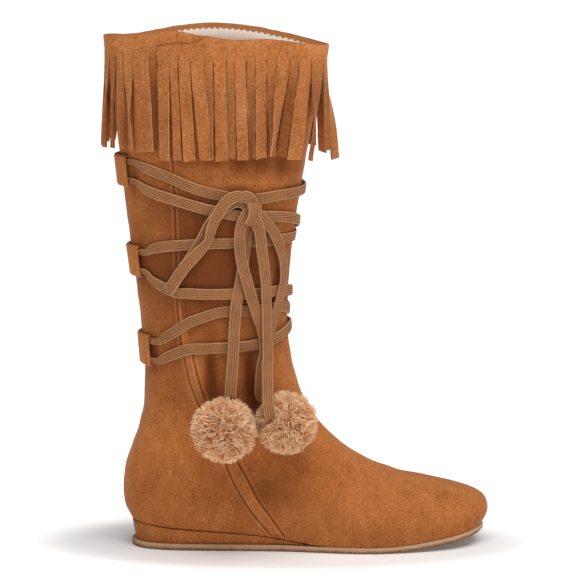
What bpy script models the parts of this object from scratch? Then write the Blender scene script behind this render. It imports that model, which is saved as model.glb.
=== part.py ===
"""Fringe boot: a calf-high soft boot with a fringed cuff, a wrapped lace and two pompoms.

Right boot. Metres, +Z up, toe towards +X, outer side towards -Y.
The origin is on the floor at the middle of the heel.
"""
import math
from collections import namedtuple

import bmesh
import bpy
from mathutils import Vector

for leftover in list(bpy.data.objects):
    bpy.data.objects.remove(leftover, do_unlink=True)

# Driving sizes of the foot and sole
SOLE_LENGTH = 0.251
HEEL_SETBACK = 0.0315
BALL_WIDTH = 0.085
OUTSOLE_THICKNESS = 0.0043
OUTSOLE_MARGIN = 0.0003
OUTSOLE_EDGE_ROUND = 0.0006
WEDGE_RISE = 0.0143
WEDGE_UNDERCUT = 0.0024
WEDGE_FRONT_SHARE = 0.49
TOE_SPRING = 0.0100
TOE_SWING = 0.007
INSOLE_THICKNESS = 0.003

# Driving sizes of the upper
UPPER_HEIGHT = 0.364
LAST_BASE = 0.0016
SHAFT_DEPTH = 0.068
CROWN_SHARPNESS = 1.5
WALL = 0.002
FIT_GAP = 0.0003
CURVE_GAP = 0.0006

# Driving sizes of the fringed cuff
CUFF_THICKNESS = 0.0014
CUFF_BELOW_RIM = 0.0006
CUFF_BAND_HEIGHT = 0.012
CUFF_END_ROOM = 0.0016
CUFF_START_SHARE = 0.079
CUFF_CORNER_DROP = 0.010
CUFF_CORNER_RUN = 0.034
FRINGE_LENGTH = 0.0715
FRINGE_FLARE = 0.0035
FRINGE_END_FLARE = 0.7
FRINGE_STANDOFF = 0.0009
STRIP_GAP = 0.0014
STRIP_PITCH = 0.0102
WIDE_STRIP = 0.0235
CUFF_OPENING = 0.0022

# Driving sizes of the lace, its loops and its pompoms
LACE_WIDTH = 0.009
LACE_THICKNESS = 0.0013
LACE_LAP = 0.0005
LACE_LOOP_THICKNESS = 0.0011
LACE_LOOP_REACH = 0.007
LOOP_MOUTH_ROOM = 0.003
BAR_GAP = 0.0013
KNOT_WIDTH = 0.0105
KNOT_HEIGHT = 0.0125
KNOT_DEPTH = 0.0062
KNOT_SHARES = (0.352, 0.673)
POMPOM_LEFT_RADIUS = 0.0228
POMPOM_RIGHT_RADIUS = 0.0212
POMPOM_LEFT_SHARES = (0.2668, 0.2581)
POMPOM_RIGHT_SHARES = (0.412, 0.2536)
POMPOM_LOCK_SHARE = 0.10
SEAM_STRIP_WIDTH = 0.009
SEAM_STRIP_THICKNESS = 0.0006

# How finely the pieces are cut
RING_POINTS = 44
SOLE_POINTS = 56
WEDGE_POINTS = 40
FOOT_RINGS_PER_COURSE = 2
SHAFT_RINGS_PER_COURSE = 1
LOOP_COLUMNS = 8
LACE_STEP_DEGREES = 10.5
LACE_END_CROWDING = 0.36
FULL_TURN = 2.0 * math.pi

# The sole seen from above and from the side. along: share of the sole length from its back end,
# outer and inner: half widths as shares of the ball width, spring: share of the toe spring,
# wedge: share of the wedge's rise
SoleStation = namedtuple("SoleStation", "along outer inner spring wedge")
SOLE_STATIONS = (
    SoleStation(0.00, 0.330, 0.330, 0.000, 1.000),
    SoleStation(0.12, 0.338, 0.338, 0.000, 0.765),
    SoleStation(0.24, 0.350, 0.332, 0.000, 0.625),
    SoleStation(0.35, 0.361, 0.302, 0.000, 0.480),
    SoleStation(0.44, 0.378, 0.294, 0.000, 0.240),
    SoleStation(0.49, 0.400, 0.310, 0.000, 0.090),
    SoleStation(0.54, 0.432, 0.342, 0.000, 0.000),
    SoleStation(0.63, 0.492, 0.420, 0.000, 0.000),
    SoleStation(0.70, 0.512, 0.468, 0.000, 0.000),
    SoleStation(0.77, 0.500, 0.480, 0.085, 0.000),
    SoleStation(0.84, 0.472, 0.473, 0.280, 0.000),
    SoleStation(0.90, 0.440, 0.452, 0.480, 0.000),
    SoleStation(0.96, 0.405, 0.420, 0.740, 0.000),
    SoleStation(1.00, 0.380, 0.395, 1.000, 0.000),
)

# The upper's courses, from the sole's edge up to the collar. back and front lie on the side outline:
# x as a share of the sole length, z as a share of the upper height. foot: how far the width follows
# the sole, fill: the sole width's share there, half: the rest as a share of the shaft depth.
# heel_square and toe_square: how square each end is, tip: how sharp, hug: how far it follows the sole,
# crown: how far its middle arches above its ends, as a share of the upper height
Course = namedtuple("Course", "back_x back_z front_x front_z foot fill half heel_square toe_square tip hug crown")
COURSES = (
    Course(0.001, 0.0000, 1.001, 0.0000, 1.00, 0.97, 0.50, 9.5, 8.5, 0.50, 1.00, 0.000),
    Course(-0.020, 0.0740, 1.019, 0.0610, 1.00, 1.02, 0.50, 9.0, 7.5, 0.50, 0.90, 0.000),
    Course(-0.025, 0.0980, 1.008, 0.0880, 0.98, 1.02, 0.50, 8.5, 5.4, 0.50, 0.55, 0.000),
    Course(-0.025, 0.1260, 0.930, 0.1120, 0.86, 1.00, 0.48, 8.0, 3.2, 0.50, 0.20, 0.000),
    Course(-0.018, 0.1570, 0.780, 0.1335, 0.66, 0.98, 0.47, 7.0, 2.5, 0.50, 0.05, 0.000),
    Course(-0.002, 0.1870, 0.668, 0.1640, 0.44, 0.96, 0.46, 6.0, 2.2, 0.50, 0.00, 0.000),
    Course(0.016, 0.2200, 0.590, 0.2010, 0.26, 0.96, 0.47, 5.0, 2.1, 0.50, 0.00, 0.000),
    Course(0.030, 0.2560, 0.528, 0.2430, 0.10, 0.96, 0.48, 4.0, 2.0, 0.50, 0.00, 0.000),
    Course(0.038, 0.2970, 0.485, 0.2940, 0.00, 0.96, 0.50, 3.2, 2.0, 0.50, 0.00, 0.000),
    Course(0.040, 0.3460, 0.458, 0.3520, 0.00, 0.96, 0.51, 2.7, 2.0, 0.50, 0.00, 0.000),
    Course(0.034, 0.4070, 0.444, 0.4090, 0.00, 0.96, 0.52, 2.4, 2.0, 0.50, 0.00, 0.000),
    Course(0.024, 0.4730, 0.443, 0.4730, 0.00, 0.96, 0.51, 2.2, 2.0, 0.50, 0.00, 0.000),
    Course(0.011, 0.5440, 0.449, 0.5440, 0.00, 0.96, 0.51, 2.1, 2.0, 0.50, 0.00, 0.000),
    Course(-0.004, 0.6210, 0.464, 0.6210, 0.00, 0.96, 0.50, 2.0, 1.9, 0.50, 0.00, 0.000),
    Course(-0.020, 0.7030, 0.481, 0.7000, 0.00, 0.96, 0.50, 1.9, 1.9, 0.50, 0.00, 0.000),
    Course(-0.035, 0.7970, 0.504, 0.7860, 0.00, 0.96, 0.49, 1.8, 1.8, 0.51, 0.00, 0.000),
    Course(-0.049, 0.9010, 0.528, 0.8820, 0.00, 0.96, 0.485, 1.7, 1.7, 0.53, 0.00, 0.008),
    Course(-0.062, 1.0000, 0.550, 0.9800, 0.00, 0.96, 0.48, 1.6, 1.6, 0.55, 0.00, 0.021),
)
FIRST_SHAFT_COURSE = 8

# The lace's way round the shaft, one turn after another: x as a share of the sole length on the near
# side, z as a share of the upper height. A loop row gives the loop and the bar's side in it
LacePoint = namedtuple("LacePoint", "turn side x z")
LACE_LOOPS_Z = (0.739, 0.563, 0.389)
LACE_ROUTE = (
    LacePoint(0, "near", 0.352, 0.680), LacePoint(0, "near", 0.277, 0.695),
    LacePoint(0, "near", 0.196, 0.710), LacePoint(0, "near", 0.104, 0.735),
    LacePoint(0, "near", 0.042, 0.750), LacePoint(0, "loop top", 0, 0),
    LacePoint(0, "far", 0.210, 0.695), LacePoint(1, "front", 0.0, 0.609),
    LacePoint(1, "near", 0.412, 0.608), LacePoint(1, "near", 0.339, 0.607),
    LacePoint(1, "near", 0.174, 0.603), LacePoint(1, "near", 0.072, 0.592),
    LacePoint(1, "loop top", 0, 1), LacePoint(1, "far", 0.230, 0.525),
    LacePoint(2, "front", 0.0, 0.463), LacePoint(2, "near", 0.422, 0.473),
    LacePoint(2, "near", 0.283, 0.473), LacePoint(2, "near", 0.185, 0.456),
    LacePoint(2, "near", 0.122, 0.428), LacePoint(2, "loop top", 0, 2),
    LacePoint(2, "far", 0.240, 0.416), LacePoint(3, "front", 0.0, 0.4335),
    LacePoint(3, "near", 0.403, 0.415), LacePoint(3, "near", 0.361, 0.407),
    LacePoint(3, "near", 0.174, 0.399), LacePoint(3, "near", 0.118, 0.385),
    LacePoint(3, "loop foot", 0, 2), LacePoint(3, "far", 0.230, 0.440),
    LacePoint(4, "front", 0.0, 0.500), LacePoint(4, "near", 0.422, 0.506),
    LacePoint(4, "near", 0.288, 0.507), LacePoint(4, "near", 0.146, 0.509),
    LacePoint(4, "near", 0.104, 0.517), LacePoint(4, "near", 0.066, 0.532),
    LacePoint(4, "loop foot", 0, 1), LacePoint(4, "far", 0.220, 0.590),
    LacePoint(5, "front", 0.0, 0.637), LacePoint(5, "near", 0.420, 0.654),
    LacePoint(5, "near", 0.311, 0.659), LacePoint(5, "near", 0.241, 0.669),
    LacePoint(5, "near", 0.126, 0.690), LacePoint(5, "near", 0.052, 0.707),
    LacePoint(5, "loop foot", 0, 0), LacePoint(5, "far", 0.230, 0.718),
    LacePoint(6, "front", 0.0, 0.702), LacePoint(6, "near", 0.420, 0.697),
    LacePoint(6, "near", 0.372, 0.694),
)
LACE_HALF_TURN = 3

# Each free strand of the bow: x as a share of the sole length, z as a share of the upper height,
# off: how far its middle stands off the upper, as a share of the bow's depth
StrandPoint = namedtuple("StrandPoint", "x z off")
BOW_DEPTH = 0.0088
STRAND_FLATNESS = 0.8
BOW_LOOP_LEFT = (
    StrandPoint(0.350, 0.7035, 0.75), StrandPoint(0.328, 0.7115, 0.77), StrandPoint(0.294, 0.699, 0.77),
    StrandPoint(0.262, 0.672, 0.77), StrandPoint(0.238, 0.638, 0.77), StrandPoint(0.214, 0.610, 0.77),
    StrandPoint(0.180, 0.584, 0.77), StrandPoint(0.152, 0.554, 0.77), StrandPoint(0.132, 0.524, 0.76),
    StrandPoint(0.128, 0.5175, 0.62), StrandPoint(0.132, 0.524, 0.47), StrandPoint(0.152, 0.554, 0.46),
    StrandPoint(0.180, 0.586, 0.46), StrandPoint(0.210, 0.616, 0.46), StrandPoint(0.234, 0.644, 0.46),
    StrandPoint(0.260, 0.665, 0.46), StrandPoint(0.290, 0.680, 0.46), StrandPoint(0.319, 0.682, 0.46),
)
BOW_LOOP_RIGHT = (
    StrandPoint(0.325, 0.654, 0.75), StrandPoint(0.310, 0.627, 0.75), StrandPoint(0.313, 0.574, 0.75),
    StrandPoint(0.331, 0.529, 0.75), StrandPoint(0.350, 0.479, 0.75), StrandPoint(0.362, 0.430, 0.75),
    StrandPoint(0.362, 0.375, 0.75), StrandPoint(0.368, 0.335, 0.75), StrandPoint(0.374, 0.316, 0.74),
    StrandPoint(0.378, 0.3085, 0.60), StrandPoint(0.381, 0.316, 0.46), StrandPoint(0.388, 0.342, 0.45),
    StrandPoint(0.396, 0.390, 0.45), StrandPoint(0.402, 0.440, 0.45), StrandPoint(0.420, 0.491, 0.45),
    StrandPoint(0.426, 0.540, 0.45), StrandPoint(0.415, 0.587, 0.45), StrandPoint(0.396, 0.627, 0.45),
    StrandPoint(0.383, 0.654, 0.45),
)
LACE_END_LEFT = (
    StrandPoint(0.340, 0.654, 0.46), StrandPoint(0.322, 0.610, 0.46), StrandPoint(0.308, 0.535, 0.46),
    StrandPoint(0.297, 0.490, 0.48), StrandPoint(0.290, 0.435, 0.55), StrandPoint(0.283, 0.375, 1.05),
    StrandPoint(0.280, 0.3235, 1.95),
)
LACE_END_RIGHT = (
    StrandPoint(0.357, 0.654, 1.04), StrandPoint(0.361, 0.615, 1.04), StrandPoint(0.372, 0.570, 1.04),
    StrandPoint(0.378, 0.475, 1.04), StrandPoint(0.381, 0.410, 1.05), StrandPoint(0.384, 0.350, 1.20),
    StrandPoint(0.388, 0.3215, 1.55),
)

# The side seam's raised strip below the lace, x and z as shares
SEAM_STRIP_ROUTE = (
    StrandPoint(0.170, 0.352, 0), StrandPoint(0.190, 0.318, 0), StrandPoint(0.212, 0.272, 0),
    StrandPoint(0.243, 0.216, 0), StrandPoint(0.286, 0.152, 0), StrandPoint(0.345, 0.082, 0),
    StrandPoint(0.374, 0.048, 0),
)

# The fringe's strips in turn from the cuff's start: width as a share of the pitch, sway and flare as
# shares of the gap and the fringe's flare, length as a share of the fringe's length
Strip = namedtuple("Strip", "width sway flare length")
NEAR_STRIPS = (
    Strip(0.96, -0.30, 0.5, 1.050), Strip(0.82, 0.20, 0.4, 1.035), Strip(1.04, 0.35, 0.8, 1.045),
    Strip(1.18, -0.35, 0.5, 1.065), Strip(1.02, -0.10, 0.9, 1.060), Strip(1.06, 0.30, 0.6, 1.050),
    Strip(0.86, 0.10, 0.4, 1.040), Strip(0.90, -0.25, 0.7, 1.045), Strip(1.08, 0.15, 0.8, 1.020),
    Strip(1.02, 0.35, 0.5, 0.990), Strip(0.86, -0.20, 0.4, 0.950), Strip(1.14, 0.25, 2.2, 0.955),
)
OTHER_STRIPS = (
    Strip(1.02, 0.30, 0.7, 0.960), Strip(0.84, -0.30, 1.0, 0.990), Strip(1.10, 0.20, 0.8, 0.975),
    Strip(0.94, -0.20, 1.1, 1.000), Strip(1.06, 0.25, 0.9, 0.965),
)
LAST_STRIP = Strip(1.00, 0.00, 0.5, 1.010)
STRIP_ROWS = 4
STRIP_COLUMN = 0.008

SUEDE = ("suede", (0.480, 0.172, 0.048), 0.92)
SUEDE_CUFF = ("suede_cuff", (0.480, 0.172, 0.048), 0.92)
WEDGE_SUEDE = ("wedge_suede", (0.470, 0.165, 0.045), 0.92)
OUTSOLE_TAN = ("outsole_tan", (0.520, 0.310, 0.170), 0.75)
INSOLE_LINING = ("insole_lining", (0.780, 0.620, 0.540), 0.85)
LACE_BRAID = ("lace_braid", (0.340, 0.160, 0.064), 0.85)
POMPOM_WOOL = ("pompom_wool", (0.640, 0.360, 0.200), 0.95)


def blend(low, high, share):
    """The value a share of the way from low to high."""
    return low + (high - low) * share


def along_table(xs, ys, x):
    """A smooth curve through a table's points that makes no bump of its own."""
    if x <= xs[0]:
        return ys[0]
    if x >= xs[-1]:
        return ys[-1]
    spans = [xs[i + 1] - xs[i] for i in range(len(xs) - 1)]
    slopes = [(ys[i + 1] - ys[i]) / spans[i] for i in range(len(spans))]
    turns = [slopes[0]]
    for before, after in zip(slopes, slopes[1:]):
        turns.append(0.0 if before * after <= 0 else 2 * before * after / (before + after))
    turns.append(slopes[-1])
    i = max(k for k in range(len(spans)) if xs[k] <= x)
    t = (x - xs[i]) / spans[i]
    start = (2 * t - 3) * t * t + 1
    end = 1 - start
    lead = ((t - 2) * t + 1) * t * spans[i]
    trail = (t - 1) * t * t * spans[i]
    return start * ys[i] + end * ys[i + 1] + lead * turns[i] + trail * turns[i + 1]


def place_x(share):
    """A share of the sole length as a place on X."""
    return share * SOLE_LENGTH - HEEL_SETBACK


def place_z(share):
    """A share of the upper's height, counted from the last's base line, as a height."""
    return LAST_BASE + share * UPPER_HEIGHT


def share_of_height(z):
    """A height as a share of the upper's height."""
    return (z - LAST_BASE) / UPPER_HEIGHT


STATION_AT = [station.along for station in SOLE_STATIONS]
SOLE_COLUMNS = {name: [getattr(station, name) for station in SOLE_STATIONS] for name in SoleStation._fields}


def sole_value(column, x):
    """One column of the sole's table at a place on X."""
    share = min(max((x + HEEL_SETBACK) / SOLE_LENGTH, 0.0), 1.0)
    return along_table(STATION_AT, SOLE_COLUMNS[column], share)


def outsole_foot(x):
    """Height of the outsole's underside."""
    return sole_value("spring", x) * TOE_SPRING


def outsole_top(x):
    """Height of the outsole's upper face."""
    return outsole_foot(x) + OUTSOLE_THICKNESS


def deck(x):
    """Height of the face that the upper and the insole stand on."""
    return outsole_top(x) + sole_value("wedge", x) * WEDGE_RISE


def feather_rows():
    """The courses, the first with the heights of the sole's edge."""
    first = COURSES[0]
    back = deck(place_x(first.back_x)) + FIT_GAP
    front = deck(place_x(first.front_x)) + FIT_GAP
    first = first._replace(back_z=share_of_height(back), front_z=share_of_height(front))
    return (first,) + COURSES[1:]


COURSE_ROWS = feather_rows()
COURSE_AT = list(range(len(COURSE_ROWS)))
COURSE_COLUMNS = {name: [getattr(row, name) for row in COURSE_ROWS] for name in Course._fields}
TOP_COURSE = len(COURSE_ROWS) - 1
COURSE_CACHE = {}


def course(v):
    """The course at a level between the table's rows."""
    key = round(v, 7)
    if key not in COURSE_CACHE:
        values = [along_table(COURSE_AT, COURSE_COLUMNS[name], key) for name in Course._fields]
        COURSE_CACHE[key] = Course(*values)
    return COURSE_CACHE[key]


def ring_height(row, x, share):
    """Height of a course at x, which lies a share of the way from its back to its front."""
    back_z, front_z = place_z(row.back_z), place_z(row.front_z)
    arch = (4 * share * (1 - share)) ** CROWN_SHARPNESS
    flat = blend(back_z, front_z, share) + row.crown * UPPER_HEIGHT * arch
    if row.hug <= 0:
        return flat
    back_rise = back_z - deck(place_x(row.back_x))
    front_rise = front_z - deck(place_x(row.front_x))
    hugging = deck(x) + blend(back_rise, front_rise, share)
    return blend(flat, hugging, row.hug)


def surface(v, angle):
    """A point on the upper's outer face. angle: 0 front, a quarter turn near side, half turn back."""
    row = course(v)
    u = math.cos(angle)
    share = (u + 1) / 2
    x = blend(place_x(row.back_x), place_x(row.front_x), share)
    square = row.heel_square if u < 0 else row.toe_square
    ends = max(1 - abs(u) ** square, 0.0) ** row.tip
    side = 1 if math.sin(angle) >= 0 else -1
    plan = sole_value("outer" if side > 0 else "inner", x) * BALL_WIDTH * row.fill
    half = blend(row.half * SHAFT_DEPTH, plan, row.foot)
    reach = min(max((x + HEEL_SETBACK) / SOLE_LENGTH, 0.5), 1.0) * 2 - 1
    swing = TOE_SWING * row.foot * reach * reach * (3 - 2 * reach)
    return Vector((x, swing - side * half * ends, ring_height(row, x, share)))


def outward(v, angle):
    """The upper's outward normal."""
    low, high = max(v - 0.02, 0), min(v + 0.02, TOP_COURSE)
    up = surface(high, angle) - surface(low, angle)
    around = surface(v, angle + 0.01) - surface(v, angle - 0.01)
    return around.cross(up).normalized() * -1


def halve(function, low, high):
    """The place between low and high where a rising function passes nought."""
    for _ in range(36):
        middle = (low + high) / 2
        if function(middle) < 0:
            low = middle
        else:
            high = middle
    return (low + high) / 2


def level_at(angle, z):
    """The level whose course has height z at an angle."""
    return halve(lambda v: surface(v, angle).z - z, 0, TOP_COURSE)


def chord_share(row, x):
    """How far x lies from a course's back to its front."""
    back, front = place_x(row.back_x), place_x(row.front_x)
    return min(max((x - back) / (front - back), 0.0), 1.0)


def find(x, z, far=False):
    """Level and angle of the upper's point at x and z on one side."""
    def gap(v):
        row = course(v)
        return ring_height(row, x, chord_share(row, x)) - z
    v = halve(gap, 0, TOP_COURSE)
    angle = math.acos(2 * chord_share(course(v), x) - 1)
    return v, (FULL_TURN - angle if far else angle)


def off_surface(v, angle, distance):
    """A point that stands off the upper."""
    return surface(v, angle) + outward(v, angle) * distance


def add_piece(name, points, faces, finish, smooth=False):
    """A closed piece from points and faces, with its own material."""
    mesh = bpy.data.meshes.new(name)
    shape = bmesh.new()
    corners = [shape.verts.new(point) for point in points]
    for face in faces:
        shape.faces.new([corners[index] for index in face])
    bmesh.ops.triangulate(shape, faces=shape.faces[:])
    bmesh.ops.recalc_face_normals(shape, faces=shape.faces[:])
    shape.to_mesh(mesh)
    shape.free()
    piece = bpy.data.objects.new(name, mesh)
    bpy.context.scene.collection.objects.link(piece)
    slot, colour, roughness = finish
    material = bpy.data.materials.get(slot) or bpy.data.materials.new(slot)
    material.use_nodes = True
    shader = material.node_tree.nodes["Principled BSDF"]
    shader.inputs["Base Color"].default_value = (*colour, 1.0)
    shader.inputs["Roughness"].default_value = roughness
    shader.inputs["Metallic"].default_value = 0.0
    mesh.materials.append(material)
    for polygon in mesh.polygons:
        polygon.use_smooth = smooth
    return piece


def loft(loops, closed_ends=True):
    """Points and faces of a skin through loops that have the same number of points."""
    points = [point for loop in loops for point in loop]
    count = len(loops[0])
    faces = []
    for row in range(len(loops) - 1):
        for i in range(count):
            j = (i + 1) % count
            low, high = row * count, (row + 1) * count
            faces.append((low + i, low + j, high + j, high + i))
    if closed_ends:
        faces.append(tuple(range(count - 1, -1, -1)))
        faces.append(tuple(range((len(loops) - 1) * count, len(loops) * count)))
    return points, faces


def stack(loops):
    """A plate through loops from its foot to its top, each lid cut across from side to side."""
    points, faces = loft(loops, closed_ends=False)
    count = len(loops[0])
    half = count // 2
    for base, top in ((0, False), ((len(loops) - 1) * count, True)):
        for i in range(half - 1):
            face = (base + i, base + i + 1, base + count - 2 - i, base + count - 1 - i)
            faces.append(face if top else face[::-1])
    return points, faces


def upper_levels():
    """The levels at which the upper's rings are cut."""
    foot = [i / FOOT_RINGS_PER_COURSE for i in range(FIRST_SHAFT_COURSE * FOOT_RINGS_PER_COURSE)]
    shaft_count = (TOP_COURSE - FIRST_SHAFT_COURSE) * SHAFT_RINGS_PER_COURSE
    shaft = [FIRST_SHAFT_COURSE + i / SHAFT_RINGS_PER_COURSE for i in range(shaft_count + 1)]
    return foot + shaft


def build_upper():
    """The upper: one open-topped, open-bottomed wall."""
    angles = [FULL_TURN * i / RING_POINTS for i in range(RING_POINTS)]
    outer, inner = [], []
    for v in upper_levels():
        face = [surface(v, angle) for angle in angles]
        lining = []
        for angle, point in zip(angles, face):
            normal = outward(v, angle)
            if v in (0, TOP_COURSE):
                normal.z = 0
                normal.normalize()
            lined = point - normal * WALL
            if v == 0:
                lined.z = deck(lined.x) + FIT_GAP
            lining.append(lined)
        outer.append(face)
        inner.append(lining)
    loops = outer + inner[::-1]
    points, faces = loft(loops + [outer[0]], closed_ends=False)
    total = len(loops) * RING_POINTS
    faces = [tuple(index % total for index in face) for face in faces]
    return add_piece("upper", points[:total], faces, SUEDE, smooth=True)


def feather_outline(margin, count=SOLE_POINTS, front_share=None):
    """The sole's edge seen from above, moved outwards by a margin. Ends are short straight cuts."""
    if front_share is None:
        angles = [FULL_TURN * (i + 0.5) / count for i in range(count)]
    else:
        row = course(0)
        share = chord_share(row, place_x(front_share))
        first = math.acos(2 * share - 1)
        half = count // 2
        last = math.pi * (1 - 0.5 / half)
        near = [blend(first, last, i / (half - 1)) for i in range(half)]
        angles = near + [FULL_TURN - angle for angle in reversed(near)]
    outline = []
    for angle in angles:
        normal = outward(0, angle)
        normal.z = 0
        normal.normalize()
        if front_share is not None and angle in (angles[0], angles[-1]):
            normal = Vector((0, math.copysign(1, normal.y), 0))
        outline.append(surface(0, angle) + normal * margin)
    return outline


def at_height(outline, height):
    """An outline laid on a surface whose height is known along X."""
    return [Vector((point.x, point.y, height(point.x))) for point in outline]


def build_outsole():
    """The outsole: a thin plate with a toe spring and softened edges."""
    edge = OUTSOLE_EDGE_ROUND
    full, drawn = feather_outline(OUTSOLE_MARGIN), feather_outline(OUTSOLE_MARGIN - edge)
    loops = [
        at_height(drawn, outsole_foot),
        at_height(full, lambda x: outsole_foot(x) + edge),
        at_height(full, lambda x: outsole_top(x) - edge),
        at_height(drawn, outsole_top),
    ]
    return add_piece("outsole", *stack(loops), OUTSOLE_TAN)


def build_wedge():
    """The covered wedge between the outsole and the heel of the upper."""
    inset = feather_outline(-WEDGE_UNDERCUT, WEDGE_POINTS, WEDGE_FRONT_SHARE)
    full = feather_outline(0.0, WEDGE_POINTS, WEDGE_FRONT_SHARE)
    loops = [at_height(inset, lambda x: outsole_top(x) + FIT_GAP), at_height(full, deck)]
    return add_piece("heel_wedge", *stack(loops), WEDGE_SUEDE)


def build_insole():
    """The insole inside the upper, on the wedge and the outsole."""
    outline = feather_outline(-WALL - 2 * FIT_GAP)
    foot = at_height(outline, lambda x: deck(x) + FIT_GAP)
    top = at_height(outline, lambda x: deck(x) + FIT_GAP + INSOLE_THICKNESS)
    return add_piece("insole", *stack([foot, top]), INSOLE_LINING)


def ribbon_loops(middles, widthways, outwards, width, thickness):
    """Four-cornered sections of a flat strip along its middle line."""
    loops = []
    for middle, across, away in zip(middles, widthways, outwards):
        half_width, half_thick = across * width / 2, away * thickness / 2
        loops.append([
            middle - half_width - half_thick,
            middle + half_width - half_thick,
            middle + half_width + half_thick,
            middle - half_width + half_thick,
        ])
    return loops


def directions(middles):
    """The way a line runs at each of its points."""
    ways = []
    for i in range(len(middles)):
        before, after = max(i - 1, 0), min(i + 1, len(middles) - 1)
        ways.append((middles[after] - middles[before]).normalized())
    return ways


def loop_bar_height(loop, top):
    """Height of a lace bar inside one of the loops at the back."""
    spread = (LACE_WIDTH + BAR_GAP) / 2
    return place_z(LACE_LOOPS_Z[loop]) + (spread if top else -spread)


def loop_edge(z, room=0.0):
    """Angle of a loop's near edge, or of a place some room in front of it."""
    back = surface(level_at(math.pi, z), math.pi)
    _, angle = find(back.x + LACE_LOOP_REACH + room, z)
    return angle


def lace_table():
    """The lace's whole turn angle and height at each point of its route."""
    angles, heights = [], []
    for point in LACE_ROUTE:
        z = place_z(point.z)
        if point.side in ("near", "far"):
            _, angle = find(place_x(point.x), z, point.side == "far")
        elif point.side == "front":
            angle = 0.0
        else:
            z = loop_bar_height(int(point.z), point.side == "loop top")
            edge = loop_edge(z, LOOP_MOUTH_ROOM)
            angles.append(point.turn * FULL_TURN + edge)
            angles.append(point.turn * FULL_TURN + FULL_TURN - edge)
            heights.extend((z, z))
            continue
        angles.append(point.turn * FULL_TURN + angle)
        heights.append(z)
    return angles, heights


def lace_run(first, last, standoff):
    """Sections of the lace between two whole turn angles."""
    angles, heights = lace_table()
    steps = max(int(round(math.degrees(last - first) / LACE_STEP_DEGREES)), 1)
    middles, outwards = [], []
    for i in range(steps + 1):
        turned = blend(first, last, i / steps)
        turned -= LACE_END_CROWDING * math.sin(2 * turned) / 2
        z = along_table(angles, heights, turned)
        angle = turned % FULL_TURN
        v = level_at(angle, z)
        away = outward(v, angle)
        middles.append(surface(v, angle) + away * (standoff + LACE_THICKNESS / 2))
        outwards.append(away)
    widthways = []
    for way, away in zip(directions(middles), outwards):
        widthways.append(away.cross(way).normalized())
    return ribbon_loops(middles, widthways, outwards, LACE_WIDTH, LACE_THICKNESS)


def build_lace_wraps():
    """The lace's turns round the shaft, its two halves joined where they cross."""
    angles, _ = lace_table()
    middle = LACE_HALF_TURN * FULL_TURN
    joint = math.radians(LACE_STEP_DEGREES)
    down = lace_run(angles[0], middle + joint, CURVE_GAP)
    rise = lace_run(middle - joint, angles[-1], CURVE_GAP + LACE_LAP)
    wraps = add_piece("lace_wraps", *loft(down), LACE_BRAID)
    half = add_piece("lace_rising_half", *loft(rise), LACE_BRAID)
    join = wraps.modifiers.new("join", "BOOLEAN")
    join.operation = "UNION"
    join.solver = "EXACT"
    join.object = half
    half.hide_render = True
    half.display_type = "WIRE"
    return wraps


def smooth_points(route, per_span):
    """Points along a smooth line through a strand's route."""
    rows = [Vector(row) for row in route]
    padded = [rows[0] * 2 - rows[1]] + rows + [rows[-1] * 2 - rows[-2]]
    result = []
    for i in range(1, len(padded) - 2):
        p0, p1, p2, p3 = padded[i - 1:i + 3]
        for k in range(per_span):
            t = k / per_span
            result.append(
                (p1 * 2 + (p2 - p0) * t + (p0 * 2 - p1 * 5 + p2 * 4 - p3) * t * t
                 + (p1 * 3 - p0 - p2 * 3 + p3) * t ** 3) / 2)
    result.append(rows[-1])
    return result


def build_strand(name, route, per_span, pompom=None):
    """A free strand of the bow, flat against its neighbours. It may end at a pompom."""
    middles, outwards = [], []
    for share_x, share_z, off in smooth_points(route, per_span):
        v, angle = find(place_x(share_x), place_z(share_z))
        away = outward(v, angle)
        middles.append(surface(v, angle) + away * off * BOW_DEPTH)
        outwards.append(away)
    if pompom:
        middle, radius = pompom
        middles[-1] = middle + (middles[-2] - middle).normalized() * (radius + FIT_GAP)
    ways = directions(middles)
    across = outwards[0].cross(ways[0]).normalized()
    widthways, faces_out = [], []
    for way, away in zip(ways, outwards):
        level = away.cross(way)
        if level.length > STRAND_FLATNESS:
            across = level.normalized() * (1 if level.dot(across) > 0 else -1)
        else:
            across = (across - way * across.dot(way)).normalized()
        widthways.append(across)
        faces_out.append(way.cross(across).normalized())
    loops = ribbon_loops(middles, widthways, faces_out, LACE_WIDTH, LACE_THICKNESS)
    return add_piece(name, *loft(loops), LACE_BRAID)


def build_knot():
    """The bow's knot: a soft-cornered block over the lace's turns."""
    v, angle = find(place_x(KNOT_SHARES[0]), place_z(KNOT_SHARES[1]))
    away = outward(v, angle)
    base = CURVE_GAP + LACE_LAP + LACE_THICKNESS + FIT_GAP
    middle = surface(v, angle) + away * (base + KNOT_DEPTH / 2)
    across = Vector((0, 0, 1)).cross(away).normalized() * -1
    upward = away.cross(across).normalized() * -1
    loops = []
    for level, size in ((-0.5, 0.80), (-0.2, 1.0), (0.2, 1.0), (0.5, 0.72)):
        loop = []
        for i in range(8):
            turn = FULL_TURN * (i + 0.5) / 8
            sideways = math.copysign(min(abs(math.cos(turn)) * 1.25, 1.0), math.cos(turn))
            rising = math.copysign(min(abs(math.sin(turn)) * 1.25, 1.0), math.sin(turn))
            loop.append(middle + away * level * KNOT_DEPTH + across * sideways * size * KNOT_WIDTH / 2
                        + upward * rising * size * KNOT_HEIGHT / 2)
        loops.append(loop)
    return add_piece("lace_knot", *loft(loops), LACE_BRAID, smooth=True)


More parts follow.
